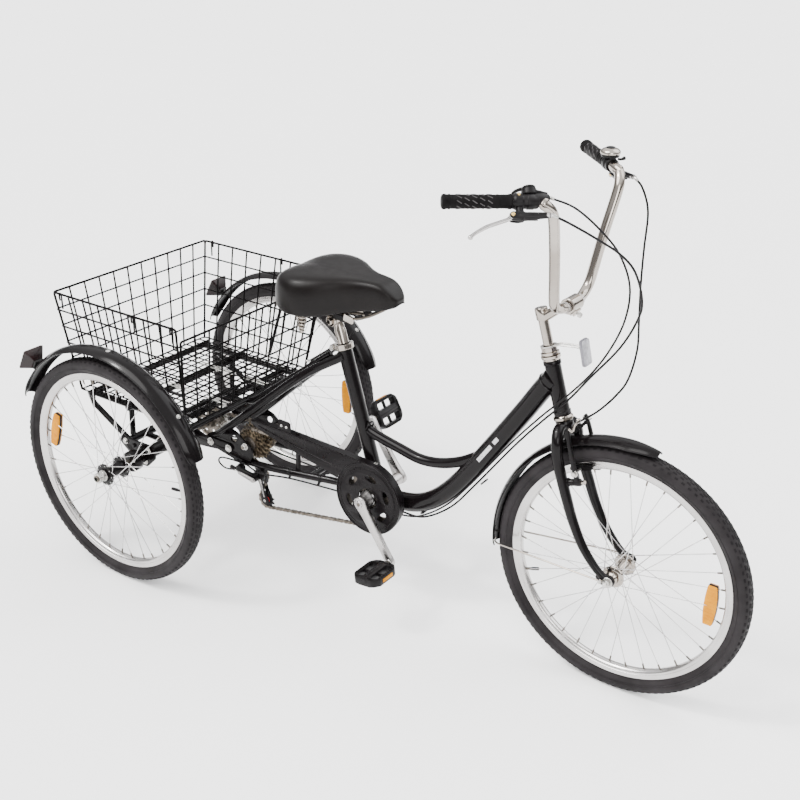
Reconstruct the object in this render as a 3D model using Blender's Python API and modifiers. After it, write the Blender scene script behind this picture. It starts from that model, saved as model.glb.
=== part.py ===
"""Adult tricycle with a low step-through frame, a rear wire basket and rear-axle drive.

Each separate piece of the tricycle is one named object. Blender units are metres, with +X forwards,
+Y to the rider's left and +Z up. The driving dimensions below are in millimetres, measured from the
ground under the middle of the rear axle, and place() turns them into the object's own frame.
"""

import math

import bmesh
import bpy
from mathutils import Matrix, Vector

MM = 0.001
GAP = 0.3
SLACK = 0.3

# Wheels
WHEELBASE = 1220.0
HALF_TRACK = 341.0
TYRE_RADIUS = 297.5
TYRE_HALF_WIDTH = 21.5
RIM_RADIUS = 259.5
RIM_INNER = 241.0
RIM_HALF_WIDTH = 12.0
WHEEL_STEPS = 28
SPOKES = 18
SPOKE_RADIUS = 1.6

# Overall length, from the rear lamps to the front tyre
REAR_FENDER = (330.0, 318.0, 26.0)
LAMP_ANGLE = math.radians(141)
LAMP_HALF = 31.0
LAMP_DEPTH = 42.0
LAMP_END = REAR_FENDER[0] + 0.6 + LAMP_DEPTH
LAMP_REAR = LAMP_END * math.cos(LAMP_ANGLE) - LAMP_HALF * math.sin(LAMP_ANGLE)
X_MID = (LAMP_REAR + WHEELBASE + TYRE_RADIUS) / 2

# Steering axis, from the foot of the head tube upwards
HEAD_LOW = Vector((1055.0, 0.0, 628.0))
STEER = Vector((-0.294, 0.0, 0.956)).normalized()
AHEAD = Vector((STEER.z, 0.0, -STEER.x))
HEAD_LENGTH = 122.0

# Frame
BRACKET = Vector((578.0, 0.0, 283.0))
SEAT_TOP = Vector((464.0, 0.0, 645.0))
SEAT_AXIS = (SEAT_TOP - Vector((575.0, 0.0, 283.0))).normalized()
SEAT_PIVOT = SEAT_TOP + SEAT_AXIS * 62
SEAT_TUBE_RADIUS = 17.5
POST_RADIUS = 15.0
SPINDLE_RADIUS = 9.0
SPINDLE_BORE = SPINDLE_RADIUS + SLACK
PLATE_Y = 70.0

# Drive
CHAIN_Y = -45.0
CHAIN_PITCH = 12.7
CHAIN_HALF_WIDTH = 3.3
CHAIN_HALF_HEIGHT = 4.0
CHAINRING_TEETH = 40
COG_TEETH = 20
PULLEY_TEETH = 11
JACK = Vector((199.0, 0.0, 316.0))
JACK_SPROCKET_TEETH = 16
AXLE_SPROCKET_TEETH = 20
AXLE_CHAIN_Y = 5.0
GUIDE = Vector((225.0, 0.0, 233.0))
TENSION = Vector((243.0, 0.0, 163.0))
CRANK_LENGTH = 160.0
CRANK_ANGLE = math.radians(-56.2)
CRANK_Y = 82.0
PEDAL_PIN_RADIUS = 5.0

# Axle
AXLE_RADIUS = 8.5
AXLE_HALF = 399.0
AXLE_BORE = AXLE_RADIUS + SLACK
WHEEL_BORE = AXLE_RADIUS + 0.8

# Fenders: crown radius, edge radius and half width
FRONT_FENDER = (316.0, 304.5, 26.0)
FENDER_WALL = 1.6

# Basket
FLOOR_Z = 417.5
WIRE = 3.0
BASKET_REAR = (-225.0, -242.0)
BASKET_FRONT = (152.0, 190.0)
BASKET_HALF = (229.0, 273.0)
BASKET_TOP = 699.0
FRONT_TOP = 667.0

# Handlebar, right-hand side
GRIP_INNER = Vector((1013.0, -197.0, 1128.0))
GRIP_END = Vector((921.0, -283.0, 1131.0))
BAR_RADIUS = 11.1
LEVER_DROP = math.radians(50)

PARTS = bpy.data.collections.new("adult_tricycle")


def place(x, y, z):
    """A point in millimetres from the ground under the rear axle, in the object's own frame."""
    return Vector(((x - X_MID) * MM, y * MM, z * MM))


def at(point):
    """place() for a vector."""
    return place(point.x, point.y, point.z)


def beside(point, y):
    """The same point moved sideways to a given y."""
    return Vector((point.x, y, point.z))


def pitch_radius(teeth):
    """Pitch radius of a chain wheel."""
    return CHAIN_PITCH / (2 * math.sin(math.pi / teeth))


def mirrored(points, side):
    """Right-hand points, or their mirror images when side is +1 (the rider's left)."""
    return [Vector((p[0], -side * p[1], p[2])) for p in points]


# Materials


def make_material(name, colour, roughness, metallic=0.0):
    """A Principled material in one colour."""
    material = bpy.data.materials.new(name)
    material.use_nodes = True
    shader = material.node_tree.nodes["Principled BSDF"]
    shader.inputs["Base Color"].default_value = (*colour, 1.0)
    shader.inputs["Roughness"].default_value = roughness
    shader.inputs["Metallic"].default_value = metallic
    material.diffuse_color = (*colour, 1.0)
    return material


# Making and joining pieces


def add_object(name, data):
    """Link a new object to the scene's root collection."""
    piece = bpy.data.objects.new(name, data)
    bpy.context.scene.collection.objects.link(piece)
    return piece


def finish(piece, name, material):
    """Name a finished piece, colour it and move it to the parts collection."""
    piece.name = name
    piece.data.name = name
    piece.data.materials.clear()
    piece.data.materials.append(material)
    for collection in list(piece.users_collection):
        collection.objects.unlink(piece)
    PARTS.objects.link(piece)
    if piece.type == "MESH":
        piece.data.shade_smooth()
        piece.data.set_sharp_from_angle(angle=math.radians(35))
    return piece


def solid(piece):
    """Replace a piece with a plain mesh of its evaluated shape, with loose caps welded."""
    bpy.context.view_layer.update()
    evaluated = piece.evaluated_get(bpy.context.evaluated_depsgraph_get())
    mesh = bpy.data.meshes.new_from_object(evaluated)
    result = add_object("solid", mesh)
    result.matrix_world = piece.matrix_world
    shell = bmesh.new()
    shell.from_mesh(mesh)
    bmesh.ops.remove_doubles(shell, verts=shell.verts, dist=0.000002)
    bmesh.ops.recalc_face_normals(shell, faces=shell.faces)
    shell.to_mesh(mesh)
    shell.free()
    bpy.data.objects.remove(piece)
    return result


def fuse(name, material, pieces, holes=()):
    """One closed body: the union of the pieces, less the holes."""
    base, *rest = [solid(piece) for piece in pieces]
    tools = [(piece, "UNION") for piece in rest]
    tools += [(solid(hole), "DIFFERENCE") for hole in holes]
    for tool, operation in tools:
        modifier = base.modifiers.new(operation.title(), "BOOLEAN")
        modifier.object = tool
        modifier.operation = operation
        modifier.solver = "EXACT"
    result = solid(base)
    for tool, _ in tools:
        bpy.data.objects.remove(tool)
    return finish(result, name, material)


def tube(points, radius, sides=12, cyclic=False, radii=None):
    """A round tube through points, with filled ends. radii scales it along its length."""
    curve = bpy.data.curves.new("tube", "CURVE")
    curve.dimensions = "3D"
    curve.bevel_depth = radius * MM
    curve.bevel_resolution = sides // 2 - 2
    curve.use_fill_caps = not cyclic
    spline = curve.splines.new("POLY")
    spline.points.add(len(points) - 1)
    for index, point in enumerate(points):
        spline.points[index].co = (*place(*point), 1.0)
        spline.points[index].radius = radii[index] if radii else 1.0
    spline.use_cyclic_u = cyclic
    return add_object("tube", curve)


def smooth(points, steps=4):
    """Points along a smooth curve through the given ones."""
    nodes = [Vector(p) for p in points]
    nodes = [2 * nodes[0] - nodes[1]] + nodes + [2 * nodes[-1] - nodes[-2]]
    result = []
    for i in range(1, len(nodes) - 2):
        a, b, c, d = nodes[i - 1 : i + 3]
        for k in range(steps):
            t = k / steps
            curved = (2 * a - 5 * b + 4 * c - d) * t * t + (3 * b - a - 3 * c + d) * t * t * t
            result.append(b + 0.5 * ((c - a) * t + curved))
    return result + [nodes[-2]]


def turned(profile, centre, axis, steps=24, ring=False, turn=360.0):
    """A turned shape. profile is (height along axis, radius), top to bottom on its outer side."""
    mesh = bpy.data.meshes.new("turned")
    verts = [(radius * MM, 0.0, height * MM) for height, radius in profile]
    edges = [(i, i + 1) for i in range(len(verts) - 1)]
    if ring:
        edges.append((len(verts) - 1, 0))
    mesh.from_pydata(verts, edges, [])
    piece = add_object("turned", mesh)
    screw = piece.modifiers.new("Turn", "SCREW")
    screw.angle = math.radians(turn)
    screw.steps = steps
    screw.render_steps = steps
    screw.use_merge_vertices = True
    screw.merge_threshold = 0.00001
    piece.rotation_mode = "QUATERNION"
    piece.rotation_quaternion = Vector((0.0, 0.0, 1.0)).rotation_difference(Vector(axis))
    piece.location = place(*centre)
    return piece


def rod(start, end, radius, steps=16):
    """A solid round bar between two points."""
    start, end = Vector(start), Vector(end)
    length = (end - start).length
    profile = [(length, 0.0), (length, radius), (0.0, radius), (0.0, 0.0)]
    return turned(profile, start, (end - start).normalized(), steps)


def block(centre, size, rotation=None):
    """A box with its sides along the axes, or along those of a rotation."""
    shell = bmesh.new()
    bmesh.ops.create_cube(shell, size=1.0)
    bmesh.ops.scale(shell, vec=Vector(size) * MM, verts=shell.verts)
    mesh = bpy.data.meshes.new("block")
    shell.to_mesh(mesh)
    shell.free()
    piece = add_object("block", mesh)
    turn = rotation.to_4x4() if rotation else Matrix.Identity(4)
    piece.matrix_world = Matrix.Translation(place(*centre)) @ turn
    return piece


def axes_matrix(first, second):
    """A rotation whose X and Y axes lie along two directions."""
    first = Vector(first).normalized()
    third = first.cross(Vector(second)).normalized()
    return Matrix((first, third.cross(first), third)).transposed()


def flat(outlines, thickness, origin, rotation):
    """A plate from closed outlines in its own plane. The first is the edge, the others are holes."""
    curve = bpy.data.curves.new("flat", "CURVE")
    curve.dimensions = "2D"
    curve.fill_mode = "BOTH"
    curve.extrude = thickness * MM / 2
    for outline in outlines:
        spline = curve.splines.new("POLY")
        spline.points.add(len(outline) - 1)
        for index, point in enumerate(outline):
            spline.points[index].co = (point[0] * MM, point[1] * MM, 0.0, 1.0)
        spline.use_cyclic_u = True
    piece = add_object("flat", curve)
    piece.matrix_world = Matrix.Translation(origin) @ rotation.to_4x4()
    return piece


def side_plate(outlines, thickness, y):
    """A plate in a plane of constant y, from outlines of (x, z)."""
    return flat(outlines, thickness, place(0, y, 0), axes_matrix((1, 0, 0), (0, 0, 1)))


def circle(x, z, radius, count=16, start=0.0, end=360.0):
    """Points on a circle, or on an arc of it."""
    whole = end - start >= 360.0
    steps = count if whole else count - 1
    angles = [math.radians(start + (end - start) * i / steps) for i in range(count)]
    return [(x + radius * math.cos(a), z + radius * math.sin(a)) for a in angles]


def bar_outline(start, end, start_radius, end_radius, count=7):
    """The outline of a flat bar with round ends between two (x, z) points."""
    heading = math.degrees(math.atan2(end[1] - start[1], end[0] - start[0]))
    tail = circle(*start, start_radius, count, heading + 90, heading + 270)
    return tail + circle(*end, end_radius, count, heading - 90, heading + 90)


# Wheels


def make_tyre(name, x, y, material):
    """A tyre with an open bead, standing on the ground."""
    w, r = TYRE_HALF_WIDTH, TYRE_RADIUS
    bead = RIM_HALF_WIDTH - 1.9
    outer = [(bead, 251.5), (bead, 260.5), (w, 275.0), (11.0, r)]
    inner = [(bead - 2.8, 251.5), (7.0, r - 9.0)]
    profile = outer + [(-h, q) for h, q in reversed(outer)] + [(-h, q) for h, q in inner]
    profile += list(reversed(inner))
    finish(turned(profile, (x, y, r), (0, 1, 0), WHEEL_STEPS, ring=True), name, material)


def make_rim(name, x, y, material):
    """A hooked alloy rim."""
    w = RIM_HALF_WIDTH
    profile = [(w, RIM_RADIUS), (w - 1.6, 251.0), (1.6 - w, 251.0), (-w, RIM_RADIUS)]
    profile += [(3 - w, RIM_INNER), (w - 3, RIM_INNER)]
    finish(turned(profile, (x, y, TYRE_RADIUS), (0, 1, 0), WHEEL_STEPS, ring=True), name, material)


def make_hub(name, x, y, flange_y, end_y, bore, material):
    """A flanged hub with its spokes, which stop at the inside of the rim."""
    flange, barrel = 24.0, 13.0
    profile = [(end_y, bore), (end_y, 15.0), (flange_y + 2, 16.0), (flange_y + 2, flange)]
    profile += [(flange_y - 2, flange), (flange_y - 4, barrel)]
    profile = profile + [(-h, q) for h, q in reversed(profile)]
    hub = turned(profile, (x, y, TYRE_RADIUS), (0, 1, 0), 12, ring=True)
    start, end = flange - 5.0, RIM_INNER * math.cos(math.pi / WHEEL_STEPS) - 1.0
    shell = bmesh.new()
    for index in range(SPOKES):
        angle = 2 * math.pi * index / SPOKES
        root_y = flange_y if index % 2 else -flange_y
        out = Vector((math.cos(angle), 0.0, math.sin(angle)))
        root = out * start + Vector((0.0, root_y, 0.0))
        tip = out * end
        turn = Vector((0, 0, 1)).rotation_difference((tip - root).normalized()).to_matrix()
        middle = Matrix.Translation((root + tip) / 2 * MM) @ turn.to_4x4()
        bmesh.ops.create_cone(
            shell, cap_ends=True, segments=3, radius1=SPOKE_RADIUS * MM,
            radius2=SPOKE_RADIUS * MM, depth=(tip - root).length * MM, matrix=middle,
        )
    mesh = bpy.data.meshes.new("spokes")
    shell.to_mesh(mesh)
    shell.free()
    spokes = add_object("spokes", mesh)
    spokes.location = place(x, y, TYRE_RADIUS)
    fuse(name, material, [hub, spokes])


def make_wheels(looks):
    """The front wheel and both rear wheels."""
    wheels = [
        ("front", WHEELBASE, 0.0, 30.0, 44.5, 5.0 + SLACK),
        ("left", 0.0, HALF_TRACK, 26.0, 34.0, WHEEL_BORE),
        ("right", 0.0, -HALF_TRACK, 26.0, 34.0, WHEEL_BORE),
    ]
    for side, x, y, flange_y, end_y, bore in wheels:
        make_tyre(f"{side}_tyre", x, y, looks["tyre"])
        make_rim(f"{side}_rim", x, y, looks["alloy"])
        hub_look = looks["chrome"] if side == "front" else looks["gloss_black"]
        make_hub(f"{side}_hub", x, y, flange_y, end_y, bore, hub_look)


# Frame


def make_main_frame(look):
    """The welded step-through frame, with bores for the post, the spindle and the steerer."""
    foot = Vector((575.0, 0.0, 283.0))
    top_tube = [(530, 0, 441), (560, 0, 430), (633, 0, 415), (692, 0, 405), (748, 0, 412),
                (803, 0, 433), (850, 0, 462)]
    down_tube = [(585, 0, 276), (640, 0, 274), (706, 0, 293), (770, 0, 342), (844, 0, 435),
                 (952, 0, 593), (1000, 0, 668), (1028, 0, 706)]
    shell = [
        rod(BRACKET + Vector((0, -34, 0)), BRACKET + Vector((0, 34, 0)), 21.0, 16),
        tube([foot, SEAT_TOP], SEAT_TUBE_RADIUS, 14),
        tube(smooth(top_tube, 1), 12.7, 10),
        tube(smooth(down_tube, 1), 23.0, 14),
        rod(HEAD_LOW, HEAD_LOW + STEER * HEAD_LENGTH, 17.5, 20),
    ]
    plate = [(62, 287), (58, 300), (70, 316), (150, 352), (176, 346), (190, 334), (206, 334),
             (222, 330), (230, 312), (232, 290), (226, 262), (190, 256), (150, 268), (90, 280)]
    jack_hole = circle(JACK.x, JACK.z, 5.0 + SLACK, 12)
    for side in (-1, 1):
        chainstay = [(183, -62, 266), (262, -62, 272), (330, -54, 276), (470, -28, 281),
                     (562, -22, 284)]
        seatstay = [(70, -62, 299), (145, -62, 357), (352, -34, 537), (474, -12, 618)]
        shell.append(tube(mirrored(chainstay, side), 9.5, 8))
        shell.append(tube(mirrored(seatstay, side), 11.0, 8))
        shell.append(side_plate([plate, jack_hole], 6.0, side * PLATE_Y))
    post_bore = [SEAT_TOP - SEAT_AXIS * 205, SEAT_TOP + SEAT_AXIS * 10]
    head_bore = [HEAD_LOW - STEER * 5, HEAD_LOW + STEER * (HEAD_LENGTH + 5)]
    holes = [
        rod(*post_bore, POST_RADIUS + SLACK, 20),
        rod(*head_bore, 13.2, 20),
        rod(BRACKET + Vector((0, -60, 0)), BRACKET + Vector((0, 60, 0)), SPINDLE_BORE, 16),
    ]
    fuse("main_frame", look, shell, holes)


def make_rear_carrier(look):
    """The axle housing: two bearing tubes, mounting plates, a cross tube and end brackets."""
    axle = Vector((0.0, 0.0, TYRE_RADIUS))
    cross_x, cross_z = -88.0, 300.0
    plate_y = PLATE_Y + 3.0 + GAP + 2.5
    plate = [(-104, 292), (-96, 314), (-20, 322), (30, 318), (60, 309), (152, 309), (160, 298),
             (152, 287), (60, 276), (20, 272), (-20, 272), (-92, 286)]
    bracket = [(-78, 332), (38, 334), (44, 300), (14, 270), (-20, 270), (-84, 318)]
    pieces = [rod((cross_x, -208, cross_z), (cross_x, 208, cross_z), 11.0, 10)]
    for side in (-1, 1):
        y = lambda distance: Vector((0.0, side * distance, 0.0))
        pieces += [
            rod(axle + y(74), axle + y(264), 17.0, 12),
            rod(axle + y(262), axle + y(288), 27.0, 16),
            side_plate([plate], 5.0, side * plate_y),
            side_plate([bracket], 5.0, side * 238.5),
            rod((cross_x, side * 150, cross_z), (0, side * 150, TYRE_RADIUS), 8.0, 8),
        ]
    bore = rod(axle + Vector((0, -320, 0)), axle + Vector((0, 320, 0)), AXLE_BORE, 16)
    fuse("rear_carrier", look, pieces, [bore])


def make_basket_rack(look):
    """The bars under the basket floor, with legs and struts down to the rear carrier."""
    z, r = FLOOR_Z - 2.0 - 9.0, 8.5
    rail_y = 205.0
    pieces = [rod((-212, -rail_y, z), (150, -rail_y, z), r, 8)]
    pieces.append(rod((-212, rail_y, z), (150, rail_y, z), r, 8))
    for x in (-205.0, -65.0, 95.0, 146.0):
        pieces.append(rod((x, -222, z), (x, 222, z), r - 0.4, 8))
    pieces.append(tube([(140, 0, z), (163, 0, z), (425, 0, 608)], 8.0, 8))
    for side in (-1, 1):
        strut_y = side * 227.0
        pieces.append(rod((-85, side * 190, z), (-88, side * 190, 313), 7.5, 8))
        pieces.append(tube([(-205, side * 214, z), (-190, strut_y, z - 14), (-28, strut_y, 300)],
                           7.5, 8))
    fuse("basket_rack", look, pieces)


def panel(name, corners, columns, rows, look):
    """A wire panel between four corners: low start, low end, high end, high start."""
    low, low_end, high_end, high = [Vector(c) for c in corners]
    rotation = axes_matrix(low_end - low, high - low)
    flatten = lambda p: (rotation.transposed() @ (p - low)).to_2d()
    plane = [flatten(p) for p in (low, low_end, high_end, high)]

    def spot(u, v):
        """A point of the panel, from 0 to 1 along it and 0 to 1 up it."""
        base = plane[0].lerp(plane[1], u)
        return base.lerp(plane[3].lerp(plane[2], u), v)

    width = (plane[1] - plane[0]).length
    height = (plane[3] - plane[0]).length
    du, dv = WIRE / width, WIRE / height
    outlines = [[spot(0, 0), spot(1, 0), spot(1, 1), spot(0, 1)]]
    for i in range(columns):
        for j in range(rows):
            left, right = (i / columns + du, (i + 1) / columns - du / 2)
            foot, head = (j / rows + dv, (j + 1) / rows - dv / 2)
            outlines.append([spot(left, foot), spot(left, head), spot(right, head), spot(right, foot)])
    finish(flat(outlines, WIRE, at(low), rotation), name, look)


def make_basket(look):
    """The floor and the four sides of the basket, as separate panels."""
    foot = FLOOR_Z + 3.0
    (x0, x0_top), (x1, x1_top) = BASKET_REAR, BASKET_FRONT
    half, half_top = BASKET_HALF
    inner, inner_top = half - 3.5, half_top - 3.5
    front_top = half + (half_top - half) * (FRONT_TOP - foot) / (BASKET_TOP - foot) - 3.5
    floor = [(x0, -inner, FLOOR_Z), (x1, -inner, FLOOR_Z), (x1, inner, FLOOR_Z), (x0, inner, FLOOR_Z)]
    panel("basket_floor", floor, 3, 4, look)
    rear = [(x0, -inner, foot), (x0, inner, foot), (x0_top, inner_top, BASKET_TOP),
            (x0_top, -inner_top, BASKET_TOP)]
    panel("basket_rear_panel", rear, 4, 2, look)
    front = [(x1, -inner, foot), (x1, inner, foot), (x1_top, front_top, FRONT_TOP),
             (x1_top, -front_top, FRONT_TOP)]
    panel("basket_front_panel", front, 4, 2, look)
    for name, side in (("basket_right_panel", -1), ("basket_left_panel", 1)):
        corners = [(x0 + 4, side * half, foot), (x1 - 4, side * half, foot),
                   (180.0, side * half_top, BASKET_TOP - 4), (x0_top + 4, side * half_top, BASKET_TOP - 4)]
        panel(name, corners, 3, 2, look)


def fender_shell(x, y, size, start, end, steps):
    """A crowned mudguard round a wheel, from one angle to another, open below."""
    crown, edge, half = size
    wall = [(half, edge - 2), (half * 0.85, edge + 6), (0.0, crown)]
    wall += [(-h, q) for h, q in reversed(wall[:-1])]
    piece = turned(wall, (x, y, TYRE_RADIUS), (0, 1, 0), steps, turn=end - start)
    bpy.context.view_layer.update()
    upright = piece.rotation_quaternion.to_matrix().to_4x4()
    spin = Matrix.Rotation(math.radians(-end), 4, "Y")
    piece.matrix_world = Matrix.Translation(place(x, y, TYRE_RADIUS)) @ spin @ upright
    skin = piece.modifiers.new("Wall", "SOLIDIFY")
    skin.thickness = FENDER_WALL * MM
    skin.offset = -1.0
    return piece


def make_rear_fenders(looks):
    """Both rear mudguards with the arms that bolt them to the basket rack, and their lamps."""
    crown = REAR_FENDER[0]
    for name, side in (("right", -1), ("left", 1)):
        shell = fender_shell(0.0, side * HALF_TRACK, REAR_FENDER, 22, 156, 16)
        inner = side * (HALF_TRACK - REAR_FENDER[2] + 1.5)
        arms = []
        for angle, foot in ((86, (18, side * 236, 424)), (42, (165, side * 232, 440))):
            a = math.radians(angle)
            top = (crown * math.cos(a), side * (HALF_TRACK - 12), TYRE_RADIUS + crown * math.sin(a) - 5)
            bend = (top[0], inner * 0.97, top[2] - 14)
            arms.append(tube([top, bend, foot], 4.5, 6))
        fuse(f"rear_fender_{name}", looks["gloss_black"], [shell] + arms)
        make_fender_lamp(f"fender_lamp_{name}", side, looks["lamp"])


def make_fender_lamp(name, side, look):
    """A faceted lamp standing on the back of a rear mudguard."""
    out = Vector((math.cos(LAMP_ANGLE), 0.0, math.sin(LAMP_ANGLE)))
    seat = Vector((0.0, side * (HALF_TRACK - 3), TYRE_RADIUS)) + out * (REAR_FENDER[0] + 0.6)
    shell = bmesh.new()
    bmesh.ops.create_cone(shell, cap_ends=True, segments=4, radius1=22 * math.sqrt(2) * MM,
                          radius2=LAMP_HALF * math.sqrt(2) * MM, depth=LAMP_DEPTH * MM)
    bmesh.ops.rotate(shell, cent=(0, 0, 0), matrix=Matrix.Rotation(math.pi / 4, 3, "Z"),
                     verts=shell.verts)
    mesh = bpy.data.meshes.new(name)
    shell.to_mesh(mesh)
    shell.free()
    piece = add_object(name, mesh)
    turn = axes_matrix(out, (0, 1, 0)) @ axes_matrix((0, 0, 1), (0, 1, 0)).transposed()
    piece.matrix_world = Matrix.Translation(at(seat + out * LAMP_DEPTH / 2)) @ turn.to_4x4()
    finish(piece, name, look)


def make_front_fender(look):
    """The front mudguard with its tab to the fork crown and its wire stay."""
    shell = fender_shell(WHEELBASE, 0.0, FRONT_FENDER, 79, 187, 14)
    crown_way = (along(-38) - Vector((WHEELBASE, 0, TYRE_RADIUS))).normalized()
    hub = Vector((WHEELBASE, 0, TYRE_RADIUS))
    pieces = [shell, rod(hub + crown_way * (FRONT_FENDER[0] - 4), hub + crown_way * 330, 7.0, 12)]
    for side in (-1, 1):
        wire = [(918, side * 24, 277), (930, side * 40, 280), (1180, side * 64.5, 299),
                (1206, side * 64.5, 299)]
        pieces.append(tube(wire, 2.0, 6))
        pieces.append(rod((1206, side * 62.7, 299), (1206, side * 66.3, 299), 5.0, 8))
    fuse("front_fender", look, pieces)


# Seat


def make_seat_clamp(look):
    """The collar that grips the top of the seat tube, with its bolt."""
    centre = SEAT_TOP - SEAT_AXIS * 7
    bore, outer = SEAT_TUBE_RADIUS + SLACK, SEAT_TUBE_RADIUS + 5.5
    ring = turned([(7, bore), (7, outer), (-7, outer), (-7, bore)], centre, SEAT_AXIS, 20, True)
    back = Vector((-SEAT_AXIS.z, 0.0, SEAT_AXIS.x))
    lug = centre + back * (outer + 4)
    bolt = [lug + Vector((0, -15, 0)), lug + Vector((0, 15, 0))]
    fuse("seat_clamp", look, [ring, block(lug, (16, 14, 13)), rod(*bolt, 5.0, 12)])


def make_seat_post(look):
    """The chrome seat post with the lower half of the saddle clamp on top."""
    pieces = [rod(SEAT_TOP - SEAT_AXIS * 150, SEAT_PIVOT, POST_RADIUS, 20)]
    pieces.append(rod(beside(SEAT_PIVOT, -17), beside(SEAT_PIVOT, 17), 13.0, 14))
    fuse("seat_post", look, pieces)


def make_saddle_rails(look):
    """The saddle's undercarriage: clamp cheeks, two rails, a rear bridge and two coil cones."""
    pieces = []
    for side in (-1, 1):
        y = side * 21.0
        pieces.append(rod(beside(SEAT_PIVOT, side * 17.3), beside(SEAT_PIVOT, side * 26), 14.0, 12))
        rail = [(585, side * 10, 757.5), (545, side * 16, 735), (500, y, 722), (430, y, 716),
                (404, side * 40, 724), (396, side * 70, 728)]
        pieces.append(tube(smooth(rail, 1), 3.6, 6))
        cone = [(24, 0), (24, 17), (14, 17), (-28, 4), (-28, 0)]
        pieces.append(turned(cone, (396, side * 72, 706), (0, 0, 1), 12))
    pieces.append(rod((396, -72, 724), (396, 72, 724), 4.0, 6))
    pieces.append(rod((585, -10, 757.5), (585, 10, 757.5), 3.6, 6))
    fuse("saddle_rails", look, pieces)


def make_saddle(look):
    """The wide sprung saddle as a closed form between a rear rim and a nose."""
    stations = [(324, 40, 776, 800), (332, 82, 756, 816), (352, 112, 742, 826),
                (390, 127, 736, 832), (430, 124, 736, 833), (470, 103, 741, 831),
                (510, 72, 750, 831), (550, 48, 758, 830), (590, 38, 766, 827),
                (618, 30, 775, 811), (632, 16, 781, 797)]
    count = 14
    shell = bmesh.new()
    rings = []
    for x, half, low, high in stations:
        ring = []
        for k in range(count):
            a = 2 * math.pi * k / count
            c, s = math.cos(a), math.sin(a)
            y = half * math.copysign(abs(c) ** 0.7, c)
            z = (low + high) / 2 + (high - low) / 2 * math.copysign(abs(s) ** 0.75, s)
            z = max(z, 738.0)
            ring.append(shell.verts.new(place(x, y, z)))
        rings.append(ring)
    for first, second in zip(rings, rings[1:]):
        for k in range(count):
            n = (k + 1) % count
            shell.faces.new((first[k], first[n], second[n], second[k]))
    shell.faces.new(rings[0])
    shell.faces.new(list(reversed(rings[-1])))
    bmesh.ops.recalc_face_normals(shell, faces=shell.faces)
    mesh = bpy.data.meshes.new("saddle")
    shell.to_mesh(mesh)
    shell.free()
    finish(add_object("saddle", mesh), "saddle", look)


# Drive


def crank_reach(side):
    """From the bottom bracket's centre to the middle of a crank's pedal eye."""
    way = Vector((math.cos(CRANK_ANGLE), 0.0, math.sin(CRANK_ANGLE)))
    return way * CRANK_LENGTH * -side


def crank_arm(side):
    """The flat arm of a crank and its pedal pin."""
    foot = BRACKET + crank_reach(side)
    outline = bar_outline((BRACKET.x, BRACKET.z), (foot.x, foot.z), 18.0, 12.0)
    pin_start = foot + Vector((0, side * (CRANK_Y - 6), 0))
    pin = rod(pin_start, foot + Vector((0, side * 186, 0)), PEDAL_PIN_RADIUS, 12)
    return [side_plate([outline], 13.0, side * CRANK_Y), pin]


def make_crankset(looks):
    """Both cranks and the chainring. The right crank carries the spindle."""
    hub = rod(beside(BRACKET, -37.5), beside(BRACKET, -CRANK_Y), 17.0, 20)
    shaft = rod(beside(BRACKET, -60), beside(BRACKET, 69), SPINDLE_RADIUS, 16)
    fuse("crank_right", looks["alloy"], crank_arm(-1) + [hub, shaft])
    boss = rod(beside(BRACKET, 37.5), beside(BRACKET, CRANK_Y - 4), 15.0, 16)
    socket = rod(beside(BRACKET, 30), beside(BRACKET, 69.3), SPINDLE_BORE, 16)
    fuse("crank_left", looks["alloy"], crank_arm(1) + [boss], [socket])
    x, z = BRACKET.x, BRACKET.z
    outlines = [circle(x, z, pitch_radius(CHAINRING_TEETH) - CHAIN_HALF_HEIGHT - 0.6, 36)]
    outlines.append(circle(x, z, 17.0 + GAP, 20))
    for k in range(5):
        a = 2 * math.pi * (k + 0.5) / 5
        outlines.append(circle(x + 46 * math.cos(a), z + 46 * math.sin(a), 16, 10))
    finish(side_plate(outlines, 3.0, CHAIN_Y), "chainring", looks["steel"])


def make_pedals(look):
    """Two platform pedals on the crank pins: the right one level, the left one hanging nose down."""
    edge = [(-38, -30), (-24, -46), (24, -46), (38, -30), (38, 30), (24, 46), (-24, 46), (-38, 30)]
    slots = [[(s * 10, -34), (s * 10, 34), (s * 28, 34), (s * 28, -34)] for s in (-1, 1)]
    for name, side, tilt in (("right", -1, 6), ("left", 1, -62)):
        foot = BRACKET + crank_reach(side)
        turn = Matrix.Rotation(math.radians(-tilt), 3, "Y")
        frame = flat([edge] + slots, 20.0, at(beside(foot, side * 145)), turn)
        barrel = rod(beside(foot, side * 95), beside(foot, side * 192), 10.0, 14)
        bore = rod(beside(foot, side * 80), beside(foot, side * 187), PEDAL_PIN_RADIUS + SLACK, 14)
        fuse(f"pedal_{name}", look, [frame, barrel], [bore])


def make_freewheel(look):
    """The cogs, their hub, the jackshaft through the frame plates and the inner sprocket."""
    small = pitch_radius(COG_TEETH) - CHAIN_HALF_HEIGHT - 0.6
    inner = pitch_radius(JACK_SPROCKET_TEETH) - CHAIN_HALF_HEIGHT - 0.6
    y = AXLE_CHAIN_Y
    end = PLATE_Y + 3.0 + 12.0
    profile = [(end, 0), (end, 8.0), (PLATE_Y + 3.6, 8.0), (PLATE_Y + 3.6, 5.0), (60, 5.0),
               (60, 14), (y + 1.5, 14), (y + 1.5, inner), (y - 1.5, inner), (y - 1.5, 17),
               (-29, 17), (-29, 45), (-39, 42), (-39.5, small), (-57, small - 6), (-58, 12),
               (-62, 12), (-62, 5.0), (-PLATE_Y - 3.6, 5.0), (-PLATE_Y - 3.6, 8.0), (-end, 8.0),
               (-end, 0)]
    finish(turned(profile, JACK, (0, 1, 0), 14), "freewheel", look)


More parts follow.
